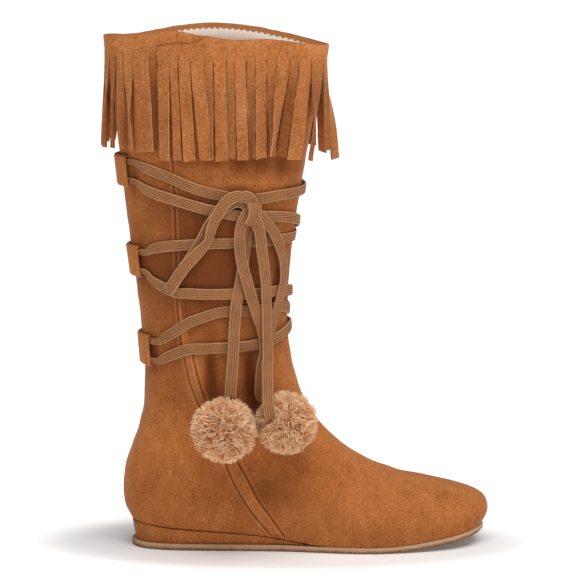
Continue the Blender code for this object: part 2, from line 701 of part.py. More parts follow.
def build_lace_loop(name, height_share):
    """A strap at the back that stands off the shaft, open at both sides for the lace."""
    inner = CURVE_GAP + LACE_LAP + LACE_THICKNESS + FIT_GAP
    outer = inner + LACE_LOOP_THICKNESS
    half = LACE_WIDTH + BAR_GAP / 2 + FIT_GAP + LACE_LOOP_THICKNESS
    soft = LACE_LOOP_THICKNESS * 0.8
    lip = half - LACE_LOOP_THICKNESS
    section = (
        (half, CURVE_GAP), (half, outer - soft), (half - soft, outer), (soft - half, outer),
        (-half, outer - soft), (-half, CURVE_GAP), (-lip, CURVE_GAP), (-lip, inner), (lip, inner),
        (lip, CURVE_GAP),
    )
    z = place_z(height_share)
    first = loop_edge(z)
    loops = []
    for i in range(LOOP_COLUMNS + 1):
        angle = blend(first, FULL_TURN - first, i / LOOP_COLUMNS)
        loops.append([off_surface(level_at(angle, z + dz), angle, off) for dz, off in section])
    return add_piece(name, *loft(loops), SUEDE)


def pompom_place(shares, radius):
    """A pompom's middle, its radius and the way it faces, seated on the upper."""
    v, angle = find(place_x(shares[0]), place_z(shares[1]))
    away = outward(v, angle)
    return surface(v, angle) + away * (radius + FIT_GAP), radius, away


def build_pompom(name, place):
    """A pompom with short locks standing out of its ball, one of them towards the upper."""
    middle, radius, away = place
    shape = bmesh.new()
    bmesh.ops.create_icosphere(shape, subdivisions=3, radius=radius * (1 - POMPOM_LOCK_SHARE))
    locks = [corner for index, corner in enumerate(shape.verts) if index % 2]
    for lock in locks:
        lock.co *= 1 / (1 - POMPOM_LOCK_SHARE)
    turn = locks[0].co.rotation_difference(-away)
    points = [middle + turn @ corner.co for corner in shape.verts]
    faces = [tuple(corner.index for corner in face.verts) for face in shape.faces]
    shape.free()
    return add_piece(name, points, faces, POMPOM_WOOL, smooth=False)


def build_seam_strip():
    """The raised strip that covers the side seam from the ankle to the sole."""
    middles, outwards = [], []
    for share_x, share_z, _ in smooth_points(SEAM_STRIP_ROUTE, 4):
        v, angle = find(place_x(share_x), place_z(share_z))
        away = outward(v, angle)
        middles.append(surface(v, angle) + away * (FIT_GAP + SEAM_STRIP_THICKNESS / 2))
        outwards.append(away)
    widthways = [away.cross(way).normalized() for way, away in zip(directions(middles), outwards)]
    loops = ribbon_loops(middles, widthways, outwards, SEAM_STRIP_WIDTH, SEAM_STRIP_THICKNESS)
    return add_piece("side_seam_strip", *loft(loops), SUEDE)


def collar_table():
    """Distance along the cuff at angles that run from its start round the front and back."""
    _, start = find(place_x(CUFF_START_SHARE), place_z(0.95))
    steps = 720
    angles = [start - FULL_TURN * i / steps for i in range(steps + 1)]
    level = TOP_COURSE - 0.2
    distances = [0.0]
    for before, after in zip(angles, angles[1:]):
        distances.append(distances[-1] + (surface(level, after) - surface(level, before)).length)
    return distances, angles


def strip_edges(length):
    """The start, the end and the table row of each strip along the cuff."""
    room = length - CUFF_OPENING - WIDE_STRIP
    strips, total = [], 0.0
    while total < room - STRIP_PITCH / 2:
        index = len(strips)
        beyond = index - len(NEAR_STRIPS)
        strip = NEAR_STRIPS[index] if beyond < 0 else OTHER_STRIPS[beyond % len(OTHER_STRIPS)]
        strips.append(strip)
        total += strip.width * STRIP_PITCH
    fit = STRIP_PITCH * room / total
    edges, place = [], 0.0
    for strip in strips:
        edges.append((place, place + strip.width * fit - STRIP_GAP, strip))
        place += strip.width * fit
    edges.append((place, place + WIDE_STRIP, LAST_STRIP))
    return edges


def cuff_offset(angle):
    """How far the cuff stands off, with room round the collar's sharp ends."""
    return FIT_GAP + CUFF_END_ROOM * abs(math.cos(angle)) ** 6


def clear_of_upper(point, distance):
    """A hanging point moved sideways out of the upper where it would touch."""
    v, angle = find(point.x, point.z, point.y > 0)
    skin = surface(v, angle)
    row = course(v)
    if not place_x(row.back_x) <= point.x <= place_x(row.front_x):
        return point
    reach = abs(skin.y) + distance
    if abs(point.y) < reach:
        point = Vector((point.x, math.copysign(reach, point.y), point.z))
    return point


def build_cuff():
    """The fringed cuff: a band round the collar with its strips, one open piece."""
    distances, angles = collar_table()
    edges = strip_edges(distances[-1])
    points, faces = [], []
    grid = []
    for first, last, strip in edges:
        columns = []
        middle_angle = along_table(distances, angles, (first + last) / 2)
        face_out = outward(TOP_COURSE - 0.3, middle_angle)
        face_out.z = 0
        face_out.normalize()
        sideways = Vector((0, 0, 1)).cross(face_out)
        flare = FRINGE_FLARE * strip.flare * (1 + FRINGE_END_FLARE * abs(math.cos(middle_angle)) ** 6)
        spans = max(round((last - first) / STRIP_COLUMN), 1)
        for i in range(spans + 1):
            place = blend(first, last, i / spans)
            angle = along_table(distances, angles, place)
            rim = surface(TOP_COURSE, angle).z
            corner = max(1 - place / CUFF_CORNER_RUN, 0) * CUFF_CORNER_DROP
            column = []
            for z in (rim - CUFF_BELOW_RIM - corner, rim - CUFF_BAND_HEIGHT - corner * 0.3):
                v = level_at(angle, z)
                away = outward(v, angle)
                inside = surface(v, angle) + away * cuff_offset(angle)
                column.append((inside, inside + away * CUFF_THICKNESS))
            root = column[-1][0]
            for step in range(1, STRIP_ROWS + 1):
                t = step / STRIP_ROWS
                hang = root + face_out * flare * t
                hang = hang + sideways * strip.sway * STRIP_GAP * t
                hang.z = root.z - FRINGE_LENGTH * strip.length * t
                inside = clear_of_upper(hang, FRINGE_STANDOFF)
                column.append((inside, inside + face_out * CUFF_THICKNESS))
            columns.append(column)
        numbered = []
        for column in columns:
            rows = []
            for inside, outside in column:
                rows.append((len(points), len(points) + 1))
                points.extend((inside, outside))
            numbered.append(rows)
        grid.append(numbered)
    last_row = STRIP_ROWS + 1
    for columns in grid:
        for left, right in zip(columns, columns[1:]):
            for row in range(last_row):
                faces.append((left[row][1], right[row][1], right[row + 1][1], left[row + 1][1]))
                faces.append((left[row][0], left[row + 1][0], right[row + 1][0], right[row][0]))
            faces.append((left[0][0], right[0][0], right[0][1], left[0][1]))
            faces.append((left[last_row][1], right[last_row][1], right[last_row][0], left[last_row][0]))
        left, right = columns[0], columns[-1]
        for row in range(1, last_row):
            faces.append((left[row][0], left[row][1], left[row + 1][1], left[row + 1][0]))
            faces.append((right[row][1], right[row][0], right[row + 1][0], right[row + 1][1]))
    for before, after in zip(grid, grid[1:]):
        left, right = before[-1], after[0]
        faces.append((left[0][1], right[0][1], right[1][1], left[1][1]))
        faces.append((left[0][0], left[1][0], right[1][0], right[0][0]))
        faces.append((left[0][0], right[0][0], right[0][1], left[0][1]))
        faces.append((left[1][1], right[1][1], right[1][0], left[1][0]))
    start, end = grid[0][0], grid[-1][-1]
    faces.append((start[0][0], start[0][1], start[1][1], start[1][0]))
    faces.append((end[0][1], end[0][0], end[1][0], end[1][1]))
    return add_piece("fringe_cuff", points, faces, SUEDE_CUFF)


build_outsole()
build_wedge()
build_insole()
build_upper()
build_seam_strip()
build_cuff()
for loop_name, loop_height in zip(("lace_loop_top", "lace_loop_middle", "lace_loop_foot"), LACE_LOOPS_Z):
    build_lace_loop(loop_name, loop_height)
build_lace_wraps()
build_knot()
build_strand("bow_loop_left", BOW_LOOP_LEFT, 2)
build_strand("bow_loop_right", BOW_LOOP_RIGHT, 2)
pompom_left = pompom_place(POMPOM_LEFT_SHARES, POMPOM_LEFT_RADIUS)
pompom_right = pompom_place(POMPOM_RIGHT_SHARES, POMPOM_RIGHT_RADIUS)
build_strand("lace_end_left", LACE_END_LEFT, 3, pompom_left[:2])
build_strand("lace_end_right", LACE_END_RIGHT, 3, pompom_right[:2])
build_pompom("pompom_left", pompom_left)
build_pompom("pompom_right", pompom_right)
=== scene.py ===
"""Looks of the fringe boot: a calf-high suede boot with a fringed cuff, a wrapped lace and two pompoms.

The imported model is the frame. Every visible piece is made here on that frame, in metres, with
+X towards the toe, -Y towards the outer side and +Z up. Each sub-assembly is a class that keeps
its sizes, builds its meshes and dresses them.
"""
import logging
import math
import random
import sys
from dataclasses import dataclass, field
from enum import Enum
from typing import NamedTuple, Sequence

import bmesh
import bpy
import numpy as np
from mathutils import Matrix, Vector
from mathutils.bvhtree import BVHTree


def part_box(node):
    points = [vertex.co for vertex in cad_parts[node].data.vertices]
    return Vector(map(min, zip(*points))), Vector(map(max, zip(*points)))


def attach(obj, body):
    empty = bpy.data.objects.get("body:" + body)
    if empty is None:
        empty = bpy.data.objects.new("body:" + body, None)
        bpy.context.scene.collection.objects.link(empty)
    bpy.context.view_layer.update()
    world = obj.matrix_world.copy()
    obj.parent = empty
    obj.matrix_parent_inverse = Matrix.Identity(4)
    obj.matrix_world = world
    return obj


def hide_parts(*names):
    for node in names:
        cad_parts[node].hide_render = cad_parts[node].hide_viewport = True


log = logging.getLogger("fringe_boot")

BODY = "root"
FULL_TURN = 2.0 * math.pi


class Side(Enum):
    """The side of the boot that a fold or a seam is on."""

    OUTER = -1
    INNER = 1
    BOTH = 0


Place = tuple[float, float]


def blend(low: float, high: float, share: float) -> float:
    """The value a share of the way from low to high."""
    return low + (high - low) * share


def smooth_step(low: float, high: float, value: float) -> float:
    """Nought at low, one at high, with soft ends."""
    share = min(max((value - low) / (high - low), 0.0), 1.0)
    return share * share * (3 - 2 * share)


def spline(points: Sequence[Sequence[float]], spacing: float, measured: int = 3) -> list[list[float]]:
    """A smooth line through points of any number of columns.

    Args:
        points: the rows that the line passes through.
        spacing: the distance between two results, in the unit of the first columns.
        measured: how many of the first columns count as place.

    Returns:
        Rows along the line, at even distances.
    """
    rows = np.array(points, dtype=float)
    padded = np.vstack([2 * rows[0] - rows[1], rows, 2 * rows[-1] - rows[-2]])
    dense = []
    for i in range(1, len(padded) - 2):
        p0, p1, p2, p3 = padded[i - 1:i + 3]
        for k in range(24):
            t = k / 24
            dense.append(0.5 * (2 * p1 + (p2 - p0) * t + (2 * p0 - 5 * p1 + 4 * p2 - p3) * t * t
                                + (3 * p1 - p0 - 3 * p2 + p3) * t ** 3))
    dense.append(rows[-1])
    dense = np.array(dense)
    steps = np.linalg.norm(np.diff(dense[:, :measured], axis=0), axis=1)
    along = np.concatenate([[0.0], np.cumsum(steps)])
    count = max(int(round(along[-1] / spacing)), 2)
    targets = np.linspace(0.0, along[-1], count + 1)
    columns = [np.interp(targets, along, dense[:, column]) for column in range(dense.shape[1])]
    return np.stack(columns, axis=1).tolist()


class Wire:
    """A shader value that can be used in Python expressions."""

    def __init__(self, book: "NodeBook", socket: bpy.types.NodeSocket) -> None:
        """Keeps the socket and the book that its nodes go to."""
        self.book = book
        self.socket = socket

    def math(self, operation: str, *others: "Wire | float") -> "Wire":
        """A Math node on this value.

        Args:
            operation: the Math node's operation.
            others: the other inputs.

        Returns:
            The node's result.
        """
        return self.book.math(operation, self, *others)

    def __add__(self, other: "Wire | float") -> "Wire":
        """The sum."""
        return self.math("ADD", other)

    __radd__ = __add__

    def __sub__(self, other: "Wire | float") -> "Wire":
        """The difference."""
        return self.math("SUBTRACT", other)

    def __rsub__(self, other: "Wire | float") -> "Wire":
        """The difference from another value."""
        return self.book.math("SUBTRACT", other, self)

    def __mul__(self, other: "Wire | float") -> "Wire":
        """The product."""
        return self.math("MULTIPLY", other)

    __rmul__ = __mul__

    def __truediv__(self, other: "Wire | float") -> "Wire":
        """The quotient."""
        return self.math("DIVIDE", other)

    def __rtruediv__(self, other: "Wire | float") -> "Wire":
        """The quotient of another value and this one."""
        return self.book.math("DIVIDE", other, self)

    def __pow__(self, other: "Wire | float") -> "Wire":
        """The power."""
        return self.math("POWER", other)

    def size(self) -> "Wire":
        """The value without its sign."""
        return self.math("ABSOLUTE")

    def step(self, low: float, high: float) -> "Wire":
        """Nought below low, one above high, soft between them."""
        node = self.book.node(
            "ShaderNodeMapRange", {"interpolation_type": "SMOOTHSTEP"},
            {"Value": self, "From Min": low, "From Max": high, "To Min": 0.0, "To Max": 1.0})
        return Wire(self.book, node.outputs["Result"])


class NodeBook:
    """A material and its nodes."""

    def __init__(self, name: str) -> None:
        """Starts a material with a Principled shader."""
        self.material = bpy.data.materials.new(name)
        self.material.use_nodes = True
        self.tree = self.material.node_tree
        self.shader = self.tree.nodes["Principled BSDF"]

    def node(self, kind: str, settings: dict | None = None, sockets: dict | None = None) -> bpy.types.Node:
        """Adds a node.

        Args:
            kind: the node's type.
            settings: its properties, set first.
            sockets: values or wires for its inputs, by name or number.

        Returns:
            The node.
        """
        node = self.tree.nodes.new(kind)
        for key, value in (settings or {}).items():
            setattr(node, key, value)
        for key, value in (sockets or {}).items():
            self.plug(node.inputs[key], value)
        return node

    def plug(self, socket: bpy.types.NodeSocket, value: "Wire | float | tuple") -> None:
        """Links a wire to a socket, or sets its value."""
        if isinstance(value, Wire):
            self.tree.links.new(value.socket, socket)
        else:
            socket.default_value = value

    def math(self, operation: str, *values: "Wire | float") -> Wire:
        """A Math node's result."""
        node = self.node("ShaderNodeMath", {"operation": operation}, dict(enumerate(values)))
        return Wire(self, node.outputs[0])

    def place(self) -> Wire:
        """The point in the object's own coordinates."""
        return Wire(self, self.node("ShaderNodeTexCoord").outputs["Object"])

    def stretched(self, vector: Wire, scale: tuple[float, float, float]) -> Wire:
        """A vector scaled along each axis."""
        node = self.node("ShaderNodeMapping", {}, {"Vector": vector, "Scale": scale})
        return Wire(self, node.outputs["Vector"])

    def noise(self, vector: Wire, scale: float, detail: float = 3.0, rough: float = 0.55) -> Wire:
        """Noise from nought to one about a half.

        Args:
            vector: where the noise is read.
            scale: waves per metre.
            detail: how many finer layers it has.
            rough: how strong the finer layers are.

        Returns:
            The noise.
        """
        node = self.node("ShaderNodeTexNoise", {},
                         {"Vector": vector, "Scale": scale, "Detail": detail, "Roughness": rough})
        return Wire(self, node.outputs["Fac"])

    def parts(self, vector: Wire) -> list[Wire]:
        """The three parts of a vector."""
        split = self.node("ShaderNodeSeparateXYZ", {}, {0: vector})
        return [Wire(self, output) for output in split.outputs]

    def attribute(self, name: str) -> list[Wire]:
        """The three parts of a mesh attribute."""
        node = self.node("ShaderNodeAttribute", {"attribute_name": name})
        return self.parts(Wire(self, node.outputs["Vector"]))

    def ribbon_place(self, name: str) -> list[Wire]:
        """The two parts of a UV map."""
        return self.parts(Wire(self, self.node("ShaderNodeUVMap", {"uv_map": name}).outputs["UV"]))[:2]

    def mix(self, factor: Wire, low: "Wire | tuple", high: "Wire | tuple") -> Wire:
        """A colour between two colours."""
        node = self.node("ShaderNodeMix", {"data_type": "RGBA"}, {0: factor, 6: low, 7: high})
        return Wire(self, node.outputs[2])

    def bump(self, height: Wire, distance: float, strength: float = 1.0, below: "Wire | None" = None) -> Wire:
        """A bump of a height from nought to one.

        Args:
            height: the height.
            distance: what one stands for, in metres.
            strength: how much of it counts.
            below: a bump that this one lies on.

        Returns:
            The bumped normal.
        """
        sockets = {"Height": height, "Distance": distance, "Strength": strength}
        if below is not None:
            sockets["Normal"] = below
        return Wire(self, self.node("ShaderNodeBump", {}, sockets).outputs["Normal"])

    def finish(self, colour: "Wire | tuple", roughness: "Wire | float", normal: "Wire | None" = None,
               sheen: float = 0.0, sheen_tint: tuple = (1, 1, 1, 1),
               specular: float = 0.3) -> bpy.types.Material:
        """Plugs the shader in.

        Args:
            colour: the base colour.
            roughness: the roughness.
            normal: the bumped normal.
            sheen: the sheen's weight.
            sheen_tint: the sheen's colour.
            specular: the specular level.

        Returns:
            The material.
        """
        self.plug(self.shader.inputs["Base Color"], colour)
        self.plug(self.shader.inputs["Roughness"], roughness)
        if normal is not None:
            self.plug(self.shader.inputs["Normal"], normal)
        self.shader.inputs["Sheen Weight"].default_value = sheen
        self.shader.inputs["Sheen Roughness"].default_value = 0.4
        self.shader.inputs["Sheen Tint"].default_value = sheen_tint
        self.shader.inputs["Specular IOR Level"].default_value = specular
        return self.material


@dataclass(frozen=True)
class Suede:
    """Brushed micro-suede with a mottled nap, painted shade and painted highlights where its attributes ask
    for them.
    """

    name: str
    slot: str
    dark: tuple[float, float, float, float] = (0.210, 0.056, 0.013, 1)
    middle: tuple[float, float, float, float] = (0.440, 0.143, 0.037, 1)
    light: tuple[float, float, float, float] = (0.680, 0.285, 0.102, 1)
    # The colour of the painted shade and darker nap from the upper's patches.
    deep: tuple[float, float, float, float] = (0.150, 0.037, 0.009, 1)
    # The colour of the painted shade on the fringe strips.
    shade_colour: tuple[float, float, float, float] = (0.110, 0.028, 0.007, 1)
    patch_scale: float = 24.0
    fibre_scale: float = 900.0
    grain: float = 2.1
    # The colour of the painted shade in the seam grooves.
    shaded_groove: tuple[float, float, float, float] = (0.150, 0.042, 0.012, 1)
    thread: tuple[float, float, float, float] = (0.230, 0.075, 0.022, 1)
    # The colour of the painted shadow along the wedge.
    wedge_shadow_line: tuple[float, float, float, float] = (0.095, 0.026, 0.008, 1)
    raw_edge: tuple[float, float, float, float] = (0.800, 0.400, 0.180, 1)
    sheen_tint: tuple[float, float, float, float] = (0.95, 0.62, 0.38, 1)
    stitch_pitch: float = 0.0030
    stitch_offset: float = 0.0021
    seams: bool = False
    cut_edges: bool = False

    def material(self) -> bpy.types.Material:
        """Makes the material.

        Returns:
            The suede's material.
        """
        book = NodeBook(self.name)
        place = book.place()
        patches = book.noise(place, self.patch_scale, 4.0, 0.6)
        brushed = book.noise(book.stretched(place, (1.0, 1.0, 0.45)), 150.0, 4.0, 0.65)
        fibres = book.noise(place, self.fibre_scale, 2.0, 0.6)
        tone = (patches - 0.5) * 0.9 + (brushed - 0.5) * 1.0 + (fibres - 0.5) * self.grain
        if self.seams:
            # The upper's patches: painted shade and painted highlight, with some nap.
            nap_and_shade, _, _ = book.attribute("nap_and_shade")
            tone = tone - nap_and_shade * 0.35
        shade = book.mix((tone * -1.0).step(-0.05, 0.85), self.middle, self.dark)
        colour = book.mix(tone.step(-0.02, 0.85), shade, self.light)
        if self.seams:
            # Painted shade and darker nap from the patches, in the deep colour.
            dark_nap_and_shade = (nap_and_shade + (patches - 0.5) * 0.3).step(0.02, 1.0)
            colour = book.mix(dark_nap_and_shade * 0.85, colour, self.deep)
        height = fibres * 0.8 + brushed * 0.9
        normal = book.bump(height, 0.00045, 0.9)
        if self.seams:
            colour, normal = self._sewn(book, colour, normal)
        if self.cut_edges:
            # Raw cut edges, then painted shade on the lower and recessed parts of the strips.
            edge, painted_shade, _ = book.attribute("cut")
            speckle = book.noise(place, 900.0, 2.0, 0.6)
            colour = book.mix(edge * speckle.step(0.35, 0.65), colour, self.raw_edge)
            colour = book.mix(painted_shade, colour, self.shade_colour)
        return book.finish(colour, 0.92, normal, 0.35, self.sheen_tint, 0.12)

    def _sewn(self, book: NodeBook, colour: Wire, normal: Wire) -> tuple[Wire, Wire]:
        """Adds the side seam's grooves, with painted shade in them and a painted highlight on their lips, its
        stitches, and a painted shadow line along the wedge.

        Args:
            book: the material's nodes.
            colour: the suede's colour.
            normal: the suede's normal.

        Returns:
            The colour and the normal with the seams.
        """
        for name, stitched in (("seam_back", True), ("seam_front", False)):
            across, along, _ = book.attribute(name)
            # Painted shade in the seam's groove, painted highlight on its lips.
            shaded_groove = 1 - across.size().step(0.0001, 0.0010)
            colour = book.mix(shaded_groove * 0.72, colour, self.shaded_groove)
            lip_highlight = 1 - (across.size() - 0.0017).size().step(0.0, 0.0009)
            colour = book.mix(lip_highlight * 0.30, colour, self.light)
            normal = book.bump(1 - shaded_groove, 0.0006, 0.8, normal)
            if stitched:
                row = 1 - (across - self.stitch_offset).size().step(0.0001, 0.0004)
                pulse = (along * (FULL_TURN / self.stitch_pitch)).math("SINE").step(-0.2, 0.1)
                thread = row * pulse
                colour = book.mix(thread * 0.55, colour, self.thread)
        above, _, _ = book.attribute("seam_foot")
        # A painted shadow line where the upper meets the wedge.
        shaded_groove = 1 - above.step(0.0003, 0.0014)
        colour = book.mix(shaded_groove * 0.85, colour, self.wedge_shadow_line)
        return colour, normal


@dataclass(frozen=True)
class Lining:
    """The collar's lining with its suede facing and stitch line."""

    name: str
    slot: str
    cloth: tuple[float, float, float, float] = (0.990, 0.860, 0.760, 1)
    facing: tuple[float, float, float, float] = (0.480, 0.180, 0.055, 1)
    cloth_shade: tuple[float, float, float, float] = (0.880, 0.710, 0.600, 1)
    facing_shade: tuple[float, float, float, float] = (0.380, 0.125, 0.034, 1)
    thread: tuple[float, float, float, float] = (0.130, 0.060, 0.035, 1)
    facing_depth: float = 0.0035
    stitch_drop: float = 0.0004
    stitch_pitch: float = 0.0042

    def material(self) -> bpy.types.Material:
        """Makes the material.

        Returns:
            The lining's material.
        """
        book = NodeBook(self.name)
        place = book.place()
        below, along, _ = book.attribute("rim")
        weave = book.noise(place, 1100.0, 2.0, 0.5)
        folds = book.noise(place, 40.0, 3.0, 0.5)
        cloth = book.mix((weave * 0.6 + folds * 0.5).step(0.35, 0.75), self.cloth, self.cloth_shade)
        suede = book.mix(weave.step(0.35, 0.65), self.facing, self.facing_shade)
        inside = below.step(self.facing_depth - 0.0002, self.facing_depth + 0.0002)
        colour = book.mix(inside, suede, cloth)
        row = 1 - (below - (self.facing_depth + self.stitch_drop)).size().step(0.0002, 0.0006)
        pulse = (along * (FULL_TURN / self.stitch_pitch)).math("SINE").step(-0.35, -0.05)
        colour = book.mix(row * pulse * 0.85, colour, self.thread)
        normal = book.bump(weave, 0.0002, 0.8)
        return book.finish(colour, 0.9, normal, 0.15, (1, 1, 1, 1), 0.15)


@dataclass(frozen=True)
class Braid:
    """A flat braid with ribs along it and painted shade in the grooves between them."""

    name: str
    slot: str
    shaded_groove: tuple[float, float, float, float] = (0.180, 0.072, 0.028, 1)
    yarn: tuple[float, float, float, float] = (0.405, 0.180, 0.074, 1)
    edge: tuple[float, float, float, float] = (0.580, 0.310, 0.150, 1)
    ribs: int = 5
    plait: float = 0.0016

    def material(self) -> bpy.types.Material:
        """Makes the material.

        Returns:
            The braid's material.
        """
        book = NodeBook(self.name)
        place = book.place()
        across, along = book.ribbon_place("run")
        lane = across * float(self.ribs)
        rib = (lane * math.pi).math("SINE").size()
        lean = ((lane * 0.5).math("FRACT") - 0.5).math("SIGN") * (lane.math("FRACT") - 0.5)
        yarn = ((along / self.plait + lean * 1.2) * FULL_TURN).math("SINE") * 0.5 + 0.5
        fuzz = book.noise(place, 1300.0, 2.0, 0.6)
        wide = book.noise(place, 90.0, 3.0, 0.55)
        # Darker between the ribs: painted shade in the grooves.
        tone = rib * 0.60 + 0.12 + (yarn - 0.5) * 0.25 + (fuzz - 0.5) * 0.8 + (wide - 0.5) * 0.6
        colour = book.mix(tone.step(0.05, 0.80), self.shaded_groove, self.yarn)
        rim = (across - 0.5).size().step(0.38, 0.47)
        colour = book.mix(rim * 0.75 + (fuzz - 0.5) * 0.2, colour, self.edge)
        height = rib * 0.7 + yarn * 0.25 + fuzz * 0.4
        normal = book.bump(height, 0.00045, 0.9)
        return book.finish(colour, 0.88, normal, 0.25, (0.90, 0.68, 0.48, 1), 0.12)


@dataclass(frozen=True)
class Wool:
    """The pompoms' pile, dark at the root and pale at the tip; the dark root is painted shade deep in the
    pile.
    """

    name: str
    slot: str
    root: tuple[float, float, float, float] = (0.640, 0.270, 0.115, 1)
    body: tuple[float, float, float, float] = (0.900, 0.440, 0.215, 1)
    tip: tuple[float, float, float, float] = (0.980, 0.680, 0.400, 1)

    def material(self) -> bpy.types.Material:
        """Makes the material.

        Returns:
            The pile's material.
        """
        book = NodeBook(self.name)
        height, chance, _ = book.attribute("pile")
        # The darker root is painted shade deep in the pile.
        colour = book.mix(height.step(0.35, 0.80), self.root, self.body)
        colour = book.mix((height + (chance - 0.5) * 0.35).step(0.72, 1.02), colour, self.tip)
        return book.finish(colour, 0.85, None, 0.3, (1.0, 0.85, 0.72, 1), 0.15)


@dataclass(frozen=True)
class SoleRubber:
    """The outsole's tan crepe with a darker lower edge."""

    name: str
    slot: str
    pale: tuple[float, float, float, float] = (0.560, 0.340, 0.200, 1)
    dark: tuple[float, float, float, float] = (0.230, 0.105, 0.045, 1)

    def material(self) -> bpy.types.Material:
        """Makes the material.

        Returns:
            The rubber's material.
        """
        book = NodeBook(self.name)
        place = book.place()
        level, _, _ = book.attribute("level")
        crumb = book.noise(place, 700.0, 3.0, 0.65)
        wide = book.noise(place, 60.0, 3.0, 0.6)
        share = level + (crumb - 0.5) * 0.9 + (wide - 0.5) * 0.5
        colour = book.mix(share.step(0.10, 0.75), self.dark, self.pale)
        normal = book.bump(crumb, 0.0005, 0.8)
        return book.finish(colour, 0.8, normal, 0.0, (1, 1, 1, 1), 0.25)


def select_only(piece: bpy.types.Object) -> None:
    """Makes one object the selected and active one."""
    bpy.ops.object.select_all(action="DESELECT")
    piece.select_set(True)
    bpy.context.view_layer.objects.active = piece


def new_piece(name: str, mesh: bpy.types.Mesh, slot: str, *materials: bpy.types.Material) -> bpy.types.Object:
    """Puts a mesh on the boot.

    Args:
        name: the piece's name.
        mesh: its mesh.
        slot: the record's material slot; not used.
        materials: its materials.

    Returns:
        The piece.
    """
    piece = bpy.data.objects.new(name, mesh)
    bpy.context.scene.collection.objects.link(piece)
    for material in materials:
        mesh.materials.append(material)
    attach(piece, BODY)
    log.info("%s: %d faces", name, len(mesh.polygons))
    return piece


def settle(shape: bmesh.types.BMesh, mesh: bpy.types.Mesh) -> bpy.types.Mesh:
    """Turns a shape's faces outwards, stores it in a mesh and frees it."""
    bmesh.ops.recalc_face_normals(shape, faces=shape.faces)
    shape.to_mesh(mesh)
    shape.free()
    return mesh


def node_copy(node: str, name: str) -> bpy.types.Mesh:
    """A merged copy of a CAD node's mesh with its flat triangles joined.

    Args:
        node: the CAD node.
        name: the copy's name.

    Returns:
        The mesh.
    """
    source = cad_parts[node]
    flat = math.radians(40)
    shape = bmesh.new()
    shape.from_mesh(source.data)
    shape.transform(source.matrix_world)
    bmesh.ops.remove_doubles(shape, verts=shape.verts, dist=1e-5)
    bmesh.ops.join_triangles(
        shape, faces=shape.faces, cmp_seam=False, cmp_sharp=False, cmp_uvs=False, cmp_vcols=False,
        cmp_materials=False, angle_face_threshold=flat, angle_shape_threshold=flat)
    return settle(shape, bpy.data.meshes.new(name))


def softened_copy(node: str, name: str, slot: str, material: bpy.types.Material, width: float,
                  segments: int = 3, sharp: float = 50.0, smooth: float = 50.0) -> bpy.types.Object:
    """A copy of a CAD node with rounded edges, which takes the node's place.

    Args:
        node: the CAD node.
        name: the piece's name.
        slot: the record's material slot.
        material: its material.
        width: the bevel's width.
        segments: the bevel's segments.
        sharp: the least angle of an edge that is rounded, in degrees.
        smooth: the most angle that is shaded smooth, in degrees.

    Returns:
        The piece.
    """
    piece = new_piece(name, node_copy(node, name), slot, material)
    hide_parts(node)
    select_only(piece)
    bevel = piece.modifiers.new("edges", "BEVEL")
    bevel.width = width
    bevel.segments = segments
    bevel.limit_method = "ANGLE"
    bevel.angle_limit = math.radians(sharp)
    bpy.ops.object.modifier_apply(modifier=bevel.name)
    bpy.ops.object.shade_smooth_by_angle(angle=math.radians(smooth))
    return piece


def shade_smooth(mesh: bpy.types.Mesh) -> None:
    """Shades every face smooth."""
    mesh.polygons.foreach_set("use_smooth", [True] * len(mesh.polygons))


def write_attribute(mesh: bpy.types.Mesh, name: str, first: np.ndarray | float,
                    second: np.ndarray | float = 0.0) -> None:
    """Stores two numbers a point as a vector attribute whose last part is nought."""
    values = np.zeros((len(mesh.vertices), 3), dtype=np.float32)
    values[:, 0] = first
    values[:, 1] = second
    mesh.attributes.new(name, "FLOAT_VECTOR", "POINT").data.foreach_set("vector", values.ravel())


def positions(mesh: bpy.types.Mesh) -> np.ndarray:
    """The mesh's points as an array."""
    values = np.empty(len(mesh.vertices) * 3)
    mesh.vertices.foreach_get("co", values)
    return values.reshape(-1, 3)


def route_distance(points: np.ndarray, route: np.ndarray) -> tuple[np.ndarray, np.ndarray, float]:
    """How far points of the side view lie from a route.

    Args:
        points: x and z of each point.
        route: x and z of the route's points.

    Returns:
        The signed distance, positive in front of the route, the distance along it, and its length.
    """
    best = np.full(len(points), 1e9)
    signed = np.full(len(points), 1e9)
    along = np.zeros(len(points))
    run = 0.0
    for start, end in zip(route[:-1], route[1:]):
        way = end - start
        length = float(np.linalg.norm(way))
        way = way / length
        offset = points - start
        reach = np.clip(offset @ way, 0.0, length)
        gap = offset - np.outer(reach, way)
        distance = np.linalg.norm(gap, axis=1)
        side = np.sign(offset[:, 0] * -way[1] + offset[:, 1] * way[0])
        closer = distance < best
        best[closer] = distance[closer]
        signed[closer] = (distance * side)[closer]
        along[closer] = run + reach[closer]
        run += length
    return signed, along, run


@dataclass(frozen=True)
class Fold:
    """A soft ridge or trough of the upper in the side view."""

    route: tuple[Place, ...]
    width: float
    height: float
    side: Side = Side.OUTER


@dataclass(frozen=True)
class ShadeAndNapPatch:
    """A place on the upper's outer side painted darker or lighter: mostly painted shade and painted
    highlight, partly nap.
    """

    x: float
    z: float
    half_length: float
    half_height: float
    darker: float


